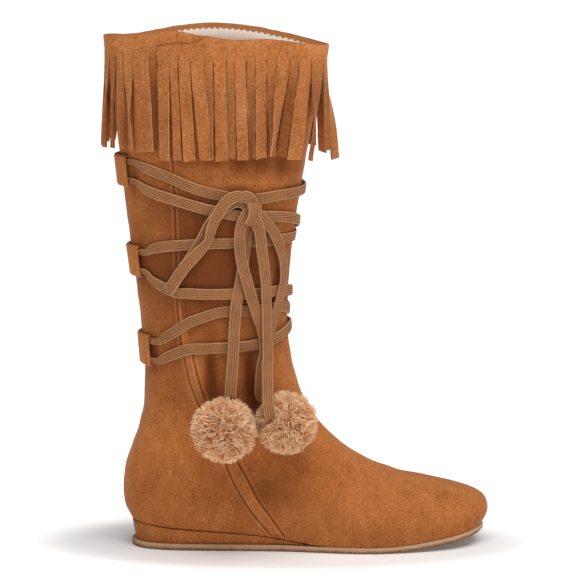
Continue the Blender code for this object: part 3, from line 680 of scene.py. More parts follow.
FOLDS = (
    Fold(((0.0105, 0.152), (0.0135, 0.135), (0.0165, 0.118), (0.0185, 0.104)), 0.0050, 0.0032),
    Fold(((0.0245, 0.148), (0.0260, 0.130), (0.0280, 0.112), (0.0320, 0.098)), 0.0040, -0.0038),
    Fold(((0.0380, 0.148), (0.0400, 0.130), (0.0410, 0.112)), 0.0056, 0.0022),
    Fold(((0.0520, 0.152), (0.0530, 0.128), (0.0550, 0.108), (0.0590, 0.094)), 0.0052, -0.0044),
    Fold(((0.0690, 0.140), (0.0710, 0.120), (0.0750, 0.104)), 0.0070, 0.0022),
    Fold(((-0.006, 0.140), (-0.004, 0.118), (-0.006, 0.098)), 0.0060, -0.0016),
    Fold(((0.060, 0.090), (0.078, 0.078), (0.100, 0.068)), 0.0080, -0.0018, Side.BOTH),
    Fold(((0.085, 0.060), (0.110, 0.050), (0.138, 0.044)), 0.0090, -0.0012, Side.BOTH),
    Fold(((0.120, 0.030), (0.140, 0.036), (0.155, 0.046)), 0.0070, -0.0012, Side.BOTH),
    Fold(((0.030, 0.275), (0.048, 0.270), (0.066, 0.272)), 0.0034, -0.0012),
    Fold(((0.024, 0.266), (0.042, 0.262), (0.060, 0.263)), 0.0034, 0.0011),
    Fold(((0.036, 0.258), (0.050, 0.254), (0.064, 0.257)), 0.0036, -0.0009),
    Fold(((0.020, 0.225), (0.040, 0.218), (0.058, 0.214)), 0.0070, -0.0012),
    Fold(((-0.004, 0.232), (0.002, 0.200), (0.004, 0.175)), 0.0090, 0.0010),
    Fold(((0.068, 0.205), (0.076, 0.185), (0.080, 0.165)), 0.0080, -0.0014),
    Fold(((0.020, 0.150), (0.024, 0.125), (0.030, 0.100)), 0.0050, -0.0022, Side.INNER),
    Fold(((0.046, 0.150), (0.050, 0.125), (0.054, 0.104)), 0.0060, -0.0024, Side.INNER),
    Fold(((0.034, 0.152), (0.038, 0.126), (0.042, 0.102)), 0.0060, 0.0018, Side.INNER),
)

# Painted shade on the shaft, in the ankle creases, under the fringe and beside the back loops, painted
# highlight on the toe and on fold ridges (negative rows), with some nap mottling. Each row: x, z, half
# length, half height, how much darker.
SHADE_AND_NAP_PATCHES = tuple(ShadeAndNapPatch(*row) for row in (
    (0.190, 0.042, 0.012, 0.010, 0.20), (0.118, 0.058, 0.022, 0.012, 0.15),
    (-0.018, 0.045, 0.014, 0.016, 0.30), (0.060, 0.040, 0.020, 0.018, 0.36),
    (0.085, 0.075, 0.020, 0.014, 0.25), (0.030, 0.105, 0.006, 0.018, 0.45),
    (0.0262, 0.130, 0.0040, 0.020, 0.62), (0.0535, 0.124, 0.0050, 0.026, 0.82),
    (0.058, 0.108, 0.008, 0.016, 0.45), (0.0150, 0.132, 0.0050, 0.020, -0.60),
    (0.0390, 0.128, 0.0045, 0.018, 0.35), (0.148, 0.045, 0.020, 0.010, -0.25),
    (0.200, 0.028, 0.010, 0.006, -0.25), (0.028, 0.280, 0.006, 0.004, 0.45),
    (0.044, 0.264, 0.018, 0.003, -0.25), (0.047, 0.278, 0.007, 0.006, 0.70),
    (0.062, 0.277, 0.007, 0.007, 0.65), (0.076, 0.275, 0.006, 0.008, 0.75),
    (0.088, 0.274, 0.005, 0.008, 0.40), (0.045, 0.206, 0.016, 0.012, 0.30),
    (0.060, 0.285, 0.030, 0.005, 0.40), (0.022, 0.196, 0.020, 0.020, 0.25),
    (-0.020, 0.205, 0.008, 0.015, 0.20), (-0.0235, 0.203, 0.0028, 0.011, 0.80),
    (-0.0145, 0.142, 0.0028, 0.010, 0.80), (-0.028, 0.265, 0.0030, 0.010, 0.60),
    (0.075, 0.195, 0.012, 0.025, 0.20), (0.010, 0.160, 0.018, 0.008, 0.20),
    (0.030, 0.215, 0.090, 0.062, 0.42), (-0.005, 0.125, 0.030, 0.030, 0.30),
    (0.014, 0.215, 0.038, 0.058, 0.56), (-0.021, 0.2865, 0.0085, 0.0028, 0.55),
    (-0.006, 0.2812, 0.0065, 0.0026, 0.50), (0.010, 0.2810, 0.0100, 0.0028, 0.55),
    (0.020, 0.262, 0.016, 0.006, -0.30), (-0.010, 0.228, 0.010, 0.008, -0.30),
    (0.080, 0.046, 0.040, 0.022, 0.26), (0.200, 0.058, 0.034, 0.012, -0.70),
))

SEAM_BACK = (
    (-0.0006, 0.2815), (0.0015, 0.2220), (0.0023, 0.1825), (0.0051, 0.1504), (0.0079, 0.1382),
    (0.0114, 0.1218), (0.0163, 0.1096), (0.0250, 0.0870), (0.0353, 0.0653), (0.0402, 0.0532),
    (0.0486, 0.0375), (0.0570, 0.0253), (0.0676, 0.0130),
)
SEAM_FRONT = (
    (0.0120, 0.1490), (0.0175, 0.1240), (0.0235, 0.1060), (0.0330, 0.0850), (0.0444, 0.0653),
    (0.0514, 0.0525), (0.0591, 0.0375), (0.0683, 0.0246), (0.0767, 0.0124),
)


def write_seams(mesh: bpy.types.Mesh) -> None:
    """Writes the distance across and along both side seams, on the outer side only."""
    points = positions(mesh)
    for name, knots in (("seam_back", SEAM_BACK), ("seam_front", SEAM_FRONT)):
        distance, along, _ = route_distance(points[:, (0, 2)], np.array(spline(knots, 0.003, 2)))
        write_attribute(mesh, name, np.where(points[:, 1] < 0, distance, 1.0), along)


@dataclass
class Upper:
    """The soft upper: a hollow suede wall with a lining, folds and side seams."""

    node: str = "upper"
    crease_room: float = 0.0225
    rim_level: float = 0.33
    rim_reach: float = 0.030
    near_dips: tuple[tuple[float, float], ...] = (
        (-0.0300, 0.0), (-0.0120, -0.0008), (-0.0016, -0.0019), (0.0060, -0.0010), (0.0149, 0.0014),
        (0.0219, 0.0020), (0.0289, 0.0026), (0.0360, 0.0036), (0.0430, 0.0037), (0.0500, 0.0030),
        (0.0577, 0.0018), (0.0648, 0.0005), (0.0720, 0.0),
    )
    far_dips: tuple[tuple[float, float], ...] = (
        (-0.0480, 0.0), (-0.0360, 0.0018), (-0.0217, 0.0030), (-0.0105, 0.0020), (0.0007, 0.0010),
        (0.0119, 0.0), (0.0250, -0.0008), (0.0450, -0.0011), (0.0570, -0.0010), (0.0790, -0.0006),
        (0.1000, 0.0),
    )
    levels: int = 2
    foot_step: float = 0.003
    wedge_end: float = 0.095
    ripple: float = 0.00035
    ripple_foot: float = 0.03
    ripple_top: float = 0.30
    ripple_fade: float = 0.02
    suede: Suede = field(default_factory=lambda: Suede("suede", "suede", seams=True))
    lining: Lining = field(default_factory=lambda: Lining("collar_lining", "insole_lining"))

    def build(self) -> bpy.types.Object:
        """Builds and dresses the upper.

        Returns:
            The upper's piece.
        """
        mesh = node_copy(self.node, "boot_upper")
        outer = self._mark_sides(mesh)
        piece = new_piece("boot_upper", mesh, self.suede.slot, self.suede.material(), self.lining.material())
        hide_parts(self.node)
        self._subdivide(piece)
        self._dip_rim(piece.data)
        self._fold(piece.data)
        self._write_looks(piece.data)
        shade_smooth(piece.data)
        log.info("upper: %d outer faces before subdivision, %d faces", outer, len(piece.data.polygons))
        return piece

    def _mark_sides(self, mesh: bpy.types.Mesh) -> int:
        """Gives the inner faces the second material and creases the rims.

        Args:
            mesh: the merged wall.

        Returns:
            The number of outer faces.
        """
        shape = bmesh.new()
        shape.from_mesh(mesh)
        shape.faces.ensure_lookup_table()
        tree = BVHTree.FromBMesh(shape)
        _, _, first, _ = tree.ray_cast(Vector((0.05, -0.5, 0.20)), Vector((0, 1, 0)))
        rims = set()
        for face in shape.faces:
            middle = face.calc_center_median()
            if face.normal.z > 0.8 and middle.z > self.rim_level:
                rims.add(face)
            elif face.normal.z < -0.8 and middle.z < self.crease_room:
                rims.add(face)
        outer, front = set(), [shape.faces[first]]
        while front:
            face = front.pop()
            if face in outer or face in rims:
                continue
            outer.add(face)
            for edge in face.edges:
                front.extend(edge.link_faces)
        crease = shape.edges.layers.float.new("crease_edge")
        for face in shape.faces:
            face.material_index = 0 if face in outer or face in rims else 1
        for face in rims:
            for edge in face.edges:
                if any(other not in rims for other in edge.link_faces):
                    edge[crease] = 1.0
        shape.to_mesh(mesh)
        shape.free()
        return len(outer)

    def _subdivide(self, piece: bpy.types.Object) -> None:
        """Rounds the wall, then cuts its outer side finer for the folds."""
        select_only(piece)
        modifier = piece.modifiers.new("round", "SUBSURF")
        modifier.levels = self.levels
        modifier.render_levels = self.levels
        bpy.ops.object.modifier_apply(modifier=modifier.name)
        bpy.ops.object.mode_set(mode="EDIT")
        bpy.ops.mesh.select_all(action="DESELECT")
        bpy.ops.object.mode_set(mode="OBJECT")
        for face in piece.data.polygons:
            face.select = face.material_index == 0 and face.center.y < -0.004 and face.normal.z > -0.8
        bpy.ops.object.mode_set(mode="EDIT")
        bpy.ops.mesh.subdivide(number_cuts=1, smoothness=1.0, quadcorner="INNERVERT")
        bpy.ops.object.mode_set(mode="OBJECT")

    def _dip_rim(self, mesh: bpy.types.Mesh) -> None:
        """Shapes the soft rim: its outer side dips, so that the lining shows behind it."""
        points = positions(mesh)
        reach = np.clip((points[:, 2] - self.rim_level) / self.rim_reach, 0.0, 1.0)
        for side, table in ((Side.OUTER, self.near_dips), (Side.INNER, self.far_dips)):
            dips = np.interp(points[:, 0], [row[0] for row in table], [row[1] for row in table])
            points[:, 2] -= dips * reach * np.clip(points[:, 1] * side.value / 0.008, 0.0, 1.0)
        mesh.vertices.foreach_set("co", points.ravel())
        mesh.update()

    def _fold(self, mesh: bpy.types.Mesh) -> None:
        """Pushes the folds' ridges out and their troughs in."""
        points = positions(mesh)
        normals = np.empty(len(points) * 3)
        mesh.vertex_normals.foreach_get("vector", normals)
        normals = normals.reshape(-1, 3)
        outside = self._outside(mesh, points)
        push = np.zeros(len(points))
        for fold in FOLDS:
            route = np.array(spline(fold.route, 0.004, 2))
            distance, along, length = route_distance(points[:, (0, 2)], route)
            taper = np.clip(np.minimum(along, length - along) / (0.35 * length) + 0.12, 0.0, 1.0)
            amount = fold.height * np.exp(-(distance / fold.width) ** 2) * taper
            if fold.side is not Side.BOTH:
                amount = amount * (np.sign(points[:, 1]) == fold.side.value)
            middle = np.clip(np.abs(points[:, 1]) / 0.012, 0.0, 1.0)
            push += amount * middle
        wave = np.sin(points[:, 0] * 190 + 3 * np.sin(points[:, 2] * 70))
        ripple = self.ripple * wave * np.sin(points[:, 2] * 150)
        above_foot = np.clip((points[:, 2] - self.ripple_foot) / self.ripple_fade, 0.0, 1.0)
        below_rim = np.clip((self.ripple_top - points[:, 2]) / self.ripple_fade, 0.0, 1.0)
        push += ripple * (above_foot * below_rim)
        moved = points + normals * (push * outside)[:, None]
        mesh.vertices.foreach_set("co", moved.ravel())
        mesh.update()

    def _outside(self, mesh: bpy.types.Mesh, points: np.ndarray) -> np.ndarray:
        """One on the outer side, minus one on the lining, so that both move together."""
        sign = np.ones(len(points))
        for face in mesh.polygons:
            if face.material_index == 1:
                for index in face.vertices:
                    sign[index] = -1.0
        return sign

    def _above_foot(self, points: np.ndarray) -> np.ndarray:
        """How high each point stands above the upper's foot edge, along the wedge.

        Args:
            points: the upper's points.

        Returns:
            The heights. In front of the wedge it is one metre.
        """
        xs, zs = points[:, 0], points[:, 2]
        places = ((xs - xs.min()) / self.foot_step).astype(int)
        lowest = np.full(places.max() + 1, 1.0)
        np.minimum.at(lowest, places, zs)
        middles = xs.min() + (np.arange(len(lowest)) + 0.5) * self.foot_step
        above = zs - np.interp(xs, middles, lowest)
        return np.where(xs < self.wedge_end, np.maximum(above, 0.0), 1.0)

    def _write_looks(self, mesh: bpy.types.Mesh) -> None:
        """Writes the seams, the nap with its painted shade and highlights, and the rim's distances for the
        materials.
        """
        points = positions(mesh)
        near = points[:, 1] < 0
        write_seams(mesh)
        write_attribute(mesh, "seam_foot", self._above_foot(points))
        nap_and_shade = np.zeros(len(points))
        for patch in SHADE_AND_NAP_PATCHES:
            x = (points[:, 0] - patch.x) / patch.half_length
            z = (points[:, 2] - patch.z) / patch.half_height
            nap_and_shade += patch.darker * np.exp(-(x * x + z * z)) * near
        # Darker towards the upper's foot: painted shade near the sole.
        edge = np.clip(1 - (points[:, 2] - 0.018) / 0.006, 0.0, 1.0) * 0.15
        write_attribute(mesh, "nap_and_shade", nap_and_shade + edge)
        rims = [np.array(rim_table(mesh, side)) for side in (Side.OUTER, Side.INNER)]
        heights = [np.interp(points[:, 0], rows[:, 0], rows[:, 1]) for rows in rims]
        below = np.where(near, heights[0], heights[1]) - points[:, 2]
        write_attribute(mesh, "rim", below, points[:, 0])


class Skin:
    """The upper's outer face, to lay other pieces on."""

    top = 0.352

    def __init__(self, upper: bpy.types.Object) -> None:
        """Keeps the outer faces of the visible upper."""
        mesh = upper.data
        points = [tuple(vertex.co) for vertex in mesh.vertices]
        faces = [tuple(face.vertices) for face in mesh.polygons if face.material_index == 0]
        self.tree = BVHTree.FromPolygons(points, faces)
        self.cache: dict[int, tuple[float, float, float]] = {}

    def girth(self, z: float) -> tuple[float, float, float]:
        """The section at a height: its middle on X, half its length and half its depth."""
        key = int(round(min(z, self.top) * 2000))
        if key not in self.cache:
            level = key / 2000
            front = self.tree.ray_cast(Vector((0.5, 0.0, level)), Vector((-1, 0, 0)))[0]
            back = self.tree.ray_cast(Vector((-0.5, 0.0, level)), Vector((1, 0, 0)))[0]
            middle = (front.x + back.x) / 2
            near = self.tree.ray_cast(Vector((middle, -0.5, level)), Vector((0, 1, 0)))[0]
            self.cache[key] = (middle, (front.x - back.x) / 2, abs(near.y))
        return self.cache[key]

    def around(self, angle: float, z: float) -> tuple[Vector, Vector]:
        """The skin's point and normal at an angle. Nought is the front, a quarter turn the outer side."""
        middle, half_length, half_depth = self.girth(z)
        way = Vector((half_length * math.cos(angle), -half_depth * math.sin(angle), 0)).normalized()
        start = Vector((middle, 0, z)) + way * 0.5
        place, normal, _, _ = self.tree.ray_cast(start, -way)
        if place is None:
            place = Vector((middle + half_length * math.cos(angle), -half_depth * math.sin(angle), z))
            normal = way.copy()
        return place, normal.copy()

    def beside(self, x: float, z: float, side: Side = Side.OUTER) -> tuple[Vector, Vector]:
        """The skin's point and normal at x and z on one side."""
        start = Vector((x, side.value * 0.5, z))
        place, normal, _, _ = self.tree.ray_cast(start, Vector((0, -side.value, 0)))
        if place is None:
            return Vector((x, 0, z)), Vector((1 if x > self.girth(z)[0] else -1, 0, 0))
        return place, normal.copy()

    def angle_at(self, x: float, z: float, inner: bool = False) -> float:
        """The angle of the skin's point at x and z."""
        middle, half_length, half_depth = self.girth(z)
        place, _ = self.beside(x, z, Side.INNER if inner else Side.OUTER)
        return math.atan2(-place.y / half_depth, (place.x - middle) / half_length) % FULL_TURN

    def clear(self, point: Vector, away: Vector, room: float) -> Vector:
        """A point pushed along away until it stands off the skin by some room."""
        place, normal, _, distance = self.tree.find_nearest(point)
        if place is None:
            return point
        gap = (point - place).dot(normal)
        if gap < room and distance < 0.03:
            facing = max(away.dot(normal), 0.35)
            point = point + away * ((room - gap) / facing)
        return point


@dataclass(frozen=True)
class Strip:
    """A fringe strip of the outer side: places of its cut and its foot along the boot, in metres."""

    top_left: float
    top_right: float
    foot_left: float
    foot_right: float
    length: float
    lift: float
    turn: int = 1
    shade: float = 0.0


@dataclass(frozen=True)
class HungStrip:
    """A fringe strip placed along the collar, in metres."""

    start: float
    end: float
    sway: float
    narrow: float
    length: float
    lift: float
    turn: int
    curl: float
    shade: float = 0.0


NEAR_STRIPS = tuple(Strip(*row) for row in (
    (-0.0105, -0.0018, -0.0088, -0.0002, 0.0738, 0.0010, 1),
    (-0.0018, 0.0040, 0.0006, 0.0070, 0.0735, 0.0010, -1, 0.04),
    (0.0040, 0.0124, 0.0080, 0.0166, 0.0736, 0.0022, 1),
    (0.0124, 0.0218, 0.0190, 0.0288, 0.0729, 0.0020, -1),
    (0.0218, 0.0281, 0.0245, 0.0290, 0.0722, 0.0001, 1, 0.30),
    (0.0281, 0.0370, 0.0292, 0.0384, 0.0736, 0.0020, 1),
    (0.0370, 0.0426, 0.0380, 0.0436, 0.0722, 0.0001, -1, 0.34),
    (0.0426, 0.0506, 0.0440, 0.0520, 0.0732, 0.0020, 1),
    (0.0506, 0.0566, 0.0518, 0.0566, 0.0722, 0.0001, 1, 0.42),
    (0.0566, 0.0648, 0.0562, 0.0646, 0.0724, 0.0020, -1),
    (0.0648, 0.0715, 0.0662, 0.0700, 0.0706, 0.0004, 1, 0.20),
    (0.0715, 0.0805, 0.0620, 0.0676, 0.0704, 0.0026, -1),
    (0.0805, 0.0869, 0.0700, 0.0766, 0.0706, 0.0001, 1, 0.58),
    (0.0869, 0.0955, 0.0752, 0.0846, 0.0712, 0.0024, 1),
    (0.0955, 0.1030, 0.0842, 0.0900, 0.0708, 0.0006, -1, 0.50),
))
EDGE_STRIPS = (
    (0.0060, -0.0020, 0.90, 0.0650, 0.0006, 1, 0.40),
    (0.0074, 0.0010, 0.42, 0.0728, 0.0046, 1, 0.0),
    (0.0066, -0.0010, 0.95, 0.0690, 0.0016, -1, 0.40),
    (0.0060, 0.0000, 0.95, 0.0650, 0.0010, 1, 0.30),
    (0.0078, -0.0020, 0.90, 0.0660, 0.0014, 1, 0.30),
)
BACK_STRIPS = (
    (0.0050, 0.0000, 0.96, 0.0660, 0.0074, 1, 0.25),
    (0.0048, 0.0000, 0.96, 0.0676, 0.0054, -1, 0.20),
    (0.0048, 0.0000, 0.96, 0.0688, 0.0036, 1, 0.05),
    (0.0050, 0.0000, 0.96, 0.0684, 0.0018, -1, 0.20),
    (0.0054, 0.0012, 0.60, 0.0694, 0.0010, 1, 0.0),
    (0.0056, 0.0030, 0.46, 0.0694, 0.0002, 1, 0.32),
    (0.0060, 0.0050, 0.42, 0.0696, 0.0002, -1, 0.20),
    (0.0074, 0.0060, 0.40, 0.0702, 0.0012, 1, 0.0),
)


@dataclass
class FringeCuff:
    """The cuff round the collar: a band cut into strips that hang over the shaft."""

    skin: Skin
    rims: dict[Side, list[tuple[float, float]]]
    node: str = "fringe_cuff"
    seed: int = 11
    level: float = 0.350
    below_rim: float = 0.0004
    thickness: float = 0.0013
    standoff: float = 0.0004
    end_room: float = 0.0014
    hang_room: float = 0.0009
    overlap_room: float = 0.0015
    shade: float = 0.18
    start_x: float = -0.0105
    wide: float = 0.0132
    tucked: float = 0.0056
    overlap: float = 0.030
    corner: tuple[tuple[float, float], ...] = (
        (0.0, 0.0102), (0.010, 0.0090), (0.024, 0.0074), (0.030, 0.0040), (0.034, 0.0008), (0.038, 0.0))
    cut_levels: tuple[float, float] = (0.3540, 0.3566)
    least_band: float = 0.0100
    cut_gap: float = 0.00016
    usual_width: float = 0.0092
    rows: int = 14
    # The strips' side faces: partly raw edge, partly painted shade.
    cut_face: tuple[float, float, float] = (0.25, 0.62, 0.0)
    steps_round: int = 720
    steps: int = 841
    across: tuple[float, ...] = (-0.5, -0.462, -0.3, -0.1, 0.1, 0.3, 0.462, 0.5)
    # A lighter copy of the upper's suede: painted light on the cuff.
    suede: Suede = field(default_factory=lambda: Suede(
        "suede_cuff", "suede_cuff", middle=(0.500, 0.174, 0.050, 1), light=(0.780, 0.360, 0.145, 1),
        grain=2.3, fibre_scale=880.0, cut_edges=True))

    def build(self) -> bpy.types.Object:
        """Builds and dresses the cuff.

        Returns:
            The cuff's piece.
        """
        self._measure()
        shape = bmesh.new()
        cut = shape.faces.layers.float_vector.new("cut")
        bands = [self._strip(shape, cut, strip) for strip in self._strips()]
        bmesh.ops.remove_doubles(shape, verts=[corner for band in bands for corner in band], dist=2e-5)
        bmesh.ops.holes_fill(shape, edges=[edge for edge in shape.edges if edge.is_boundary], sides=0)
        mesh = settle(shape, bpy.data.meshes.new("fringed_cuff"))
        shade_smooth(mesh)
        piece = new_piece("fringed_cuff", mesh, self.suede.slot, self.suede.material())
        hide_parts(self.node)
        select_only(piece)
        bpy.ops.object.shade_smooth_by_angle(angle=math.radians(38))
        return piece

    def _measure(self) -> None:
        """Works out the distance along the collar at each angle."""
        first = self.skin.angle_at(self.start_x, self.level)
        self.angles = [first - FULL_TURN * i / self.steps_round for i in range(self.steps)]
        places = [self.skin.around(angle % FULL_TURN, self.level)[0] for angle in self.angles]
        steps = [(b - a).length for a, b in zip(places, places[1:])]
        self.along = [0.0] + list(np.cumsum(steps))
        self.xs = [place.x for place in places]
        self.length = self.along[self.steps_round]
        self.front = int(np.argmax(self.xs[:self.steps_round + 1]))

    def _arc(self, x: float) -> float:
        """Distance along the collar of a place on the outer side."""
        return float(np.interp(x, self.xs[:self.front + 1], self.along[:self.front + 1]))

    def _strips(self) -> list[HungStrip]:
        """All the strips in order along the collar."""
        chance = random.Random(self.seed)
        strips = []
        for row in NEAR_STRIPS:
            start, end = self._arc(row.top_left), self._arc(row.top_right)
            sway = (row.foot_left + row.foot_right - row.top_left - row.top_right) / 2
            narrow = (row.foot_right - row.foot_left) / (end - start)
            strips.append(HungStrip(start, end, sway, min(narrow, 1.25), row.length, row.lift, row.turn,
                                    chance.uniform(-0.0005, 0.0008), row.shade))
        place = strips[-1].end
        for width, sway, narrow, length, lift, turn, shade in EDGE_STRIPS:
            strips.append(HungStrip(place, place + width, sway, narrow, length, lift, turn, 0.0004, shade))
            place += width
        back_room = sum(row[0] for row in BACK_STRIPS)
        stop = self.length - self.tucked - self.wide - back_room
        count = int(round((stop - place) / self.usual_width))
        shares = [chance.uniform(0.85, 1.15) for _ in range(count)]
        scale = (stop - place) / sum(shares)
        for share in shares:
            strips.append(HungStrip(
                place, place + share * scale, chance.uniform(-0.003, 0.003), chance.uniform(0.7, 1.0),
                chance.uniform(0.066, 0.074), chance.choice((0.0004, 0.0014, 0.0026)),
                chance.choice((-1, 1)), chance.uniform(-0.0005, 0.0008)))
            place += share * scale
        for width, sway, narrow, length, lift, turn, shade in BACK_STRIPS:
            strips.append(HungStrip(place, place + width, sway, narrow, length, lift, turn, 0.0004, shade))
            place += width
        strips.append(HungStrip(place, place + self.wide, 0.0034, 1.05, 0.0714, 0.0016, 1, 0.0006, 0.10))
        place += self.wide
        strips.append(HungStrip(place, place + self.tucked, 0.0006, 0.95, 0.0690, 0.0, 1, 0.0002, 0.80))
        place += self.tucked
        for _ in range(4):
            end = place + self.overlap / 4
            strips.append(HungStrip(place, end, 0.0, 1.0, 0.0, 0.0, 1, 0.0))
            place = end
        return strips

    def _band_point(self, place: float, down: float) -> tuple[Vector, Vector]:
        """A point on the band's inner face and its outward way.

        Args:
            place: distance along the collar.
            down: share of the band's height below its top edge.

        Returns:
            The point and the way out.
        """
        angle = float(np.interp(place, self.along, self.angles)) % FULL_TURN
        skin, normal = self.skin.around(angle, self.level)
        rows = self.rims[Side.OUTER if skin.y < 0 else Side.INNER]
        rim = float(np.interp(skin.x, [row[0] for row in rows], [row[1] for row in rows]))
        corner = float(np.interp(place, [row[0] for row in self.corner], [row[1] for row in self.corner]))
        top = rim - self.below_rim - corner
        turned = smooth_step(self.along[self.front], self.length * 0.7, place)
        foot = min(blend(*self.cut_levels, turned), rim - self.least_band)
        foot = min(foot, top - 0.003)
        skin, normal = self.skin.around(angle, min(blend(top, foot, down), rim - 0.0015))
        normal.z = 0
        normal.normalize()
        lapped = 1 - smooth_step(self.overlap, self.overlap * 1.5, place)
        room = self.standoff + self.end_room * abs(math.cos(angle)) ** 6 + self.overlap_room * lapped
        point = skin + normal * room
        point.z = blend(top, foot, down)
        return point, normal

    def _strip(self, shape: bmesh.types.BMesh, cut: bmesh.types.BMLayerItem,
               strip: HungStrip) -> list[bmesh.types.BMVert]:
        """Builds a strip and its part of the band.

        Args:
            shape: the mesh that it goes to.
            cut: the face layer for cut edges and painted shade.
            strip: the strip.

        Returns:
            The corners of its part of the band.
        """
        width = strip.end - strip.start
        band_rows = 5
        columns = [[] for _ in self.across]
        middle, away = self._band_point((strip.start + strip.end) / 2, 1.0)
        sideways = Vector((0, 0, 1)).cross(away)
        band_corners = []
        wobble = random.Random(int(strip.start * 1e6))
        for column, q in enumerate(self.across):
            place = blend(strip.start, strip.end, q + 0.5)
            for row in range(band_rows):
                point, normal = self._band_point(place, row / (band_rows - 1))
                inner = shape.verts.new(point)
                outer = shape.verts.new(point + normal * self.thickness)
                columns[column].append((inner, outer))
                band_corners.extend((inner, outer))
        turn_most = math.acos(min(max(strip.narrow, 0.2), 1.0))
        spread = max(strip.narrow, 1.0)
        rows = self.rows if strip.length > 0 else 0
        for step in range(1, rows + 1):
            t = step / rows
            turned = turn_most * smooth_step(0.05, 0.9, t) * strip.turn
            grown = blend(1.0, spread, t)
            depth = abs(math.sin(turned)) * width / 2
            face_out = (away * math.cos(turned) - sideways * math.sin(turned)).normalized()
            sag = wobble.uniform(-0.00022, 0.00022)
            for column, q in enumerate(self.across):
                base = columns[column][band_rows - 1][0].co
                pulled = -math.copysign(self.cut_gap, q) if abs(q) > 0.45 else 0.0
                flat = (middle + sideways * (strip.sway * t ** 1.2 + q * width * grown * math.cos(turned))
                        + away * (strip.lift * t ** 1.3 + depth + q * width * math.sin(turned)
                                  + strip.curl * (4 * q * q - 0.5) * t))
                held = base + away * strip.lift * t * 0.3
                settle = smooth_step(0.0, 0.45, t)
                point = held.lerp(flat, settle)
                point = point + sideways * (pulled + (sag if abs(q) > 0.45 else 0.0))
                slant = strip.curl * 2.0 * q if step == rows else 0.0
                point.z = base.z - strip.length * t + slant
                point = self.skin.clear(point, away, self.hang_room)
                rounded = 0.00035 if abs(q) > 0.49 else 0.0
                inner = shape.verts.new(point)
                outer = shape.verts.new(point + face_out * (self.thickness - rounded))
                columns[column].append((inner, outer))
        last = len(columns[0]) - 1
        for column in range(len(columns) - 1):
            left, right = columns[column], columns[column + 1]
            edge = column in (0, len(columns) - 2)
            for row in range(last):
                front = shape.faces.new((left[row][1], right[row][1], right[row + 1][1], left[row + 1][1]))
                shape.faces.new((left[row][0], left[row + 1][0], right[row + 1][0], right[row][0]))
                down = (row - band_rows + 1) / self.rows
                lit = 0.9 * smooth_step(0.10, 0.50, down) if edge else 0.0
                # The second part is painted shade, darker below the band.
                front[cut] = (lit, blend(self.shade, 1.0, strip.shade) * smooth_step(-0.15, 0.40, down), 0.0)
            shape.faces.new((left[0][0], right[0][0], right[0][1], left[0][1]))
            foot = shape.faces.new((left[last][1], right[last][1], right[last][0], left[last][0]))
            foot[cut] = (1.0, 0.0, 0.0)
        for side, flip in ((columns[0], False), (columns[-1], True)):
            for row in range(band_rows - 1, last):
                corners = (side[row][0], side[row][1], side[row + 1][1], side[row + 1][0])
                face = shape.faces.new(corners[::-1] if flip else corners)
                face[cut] = self.cut_face
        return band_corners


class Section(NamedTuple):
    """A section of the lace."""

    middle: Vector
    across: Vector
    away: Vector
    width: float
    thickness: float


@dataclass
class RibbedLace:
    """The flat ribbed lace: its cross-section and how a run of it is skinned."""

    width: float = 0.0083
    thickness: float = 0.0014
    ribs: int = 5
    rib_height: float = 0.00022
    front_points: int = 21
    back_points: int = 7
    spacing: float = 0.0022
    braid: Braid = field(default_factory=lambda: Braid("lace_braid", "lace_braid"))
    dye: bpy.types.Material | None = None

    def material(self) -> bpy.types.Material:
        """The braid's material, made once."""
        if self.dye is None:
            self.dye = self.braid.material()
        return self.dye

    def _profile(self) -> list[tuple[float, float, float]]:
        """Across share, out share and rib share of the section's points."""
        points = []
        for i in range(self.front_points):
            u = i / (self.front_points - 1)
            side = 2 * u - 1
            body = (1 - abs(side) ** 5) ** 0.5
            points.append((side / 2, 0.5 * body, abs(math.sin(self.ribs * math.pi * u)) * body))
        for i in range(self.back_points):
            u = 1 - (i + 0.5) / self.back_points
            side = 2 * u - 1
            points.append((side / 2, -0.5 * (1 - abs(side) ** 5) ** 0.5, 0.0))
        return points

    def mesh(self, name: str, sections: Sequence[Section]) -> bpy.types.Mesh:
        """Skins a run of the lace.

        Args:
            name: the mesh's name.
            sections: the sections in order.

        Returns:
            The mesh, with a UV map that follows the run.
        """
        profile = self._profile()
        count = len(profile)
        points, runs, run = [], [], 0.0
        for index, section in enumerate(sections):
            if index:
                run += (section.middle - sections[index - 1].middle).length
            runs.append(run)
            for side, out, rib in profile:
                points.append(section.middle + section.across * side * section.width
                              + section.away * (out * section.thickness + rib * self.rib_height))
        faces, places = [], []
        for row in range(len(sections) - 1):
            for i in range(count):
                j = (i + 1) % count
                faces.append((row * count + i, (row + 1) * count + i, (row + 1) * count + j, row * count + j))
                low, high = profile[i][0] + 0.5, profile[j][0] + 0.5
                here, there = runs[row], runs[row + 1]
                places.extend(((low, here), (low, there), (high, there), (high, here)))
        faces.append(tuple(range(count)))
        faces.append(tuple(range((len(sections) - 1) * count, len(sections) * count))[::-1])
        places.extend([(profile[i][0] + 0.5, 0.0) for i in range(count)])
        places.extend([(profile[i][0] + 0.5, run) for i in range(count)][::-1])
        mesh = bpy.data.meshes.new(name)
        mesh.from_pydata([tuple(point) for point in points], [], faces)
        layer = mesh.uv_layers.new(name="run")
        layer.data.foreach_set("uv", [value for place in places for value in place])
        shape = bmesh.new()
        shape.from_mesh(mesh)
        settle(shape, mesh)
        shade_smooth(mesh)
        return mesh

    def dressed(self, name: str, node: str, sections: Sequence[Section]) -> bpy.types.Object:
        """A piece of the lace through some sections, which takes a CAD node's place."""
        piece = new_piece(name, self.mesh(name, sections), self.braid.slot, self.material())
        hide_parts(node)
        return piece


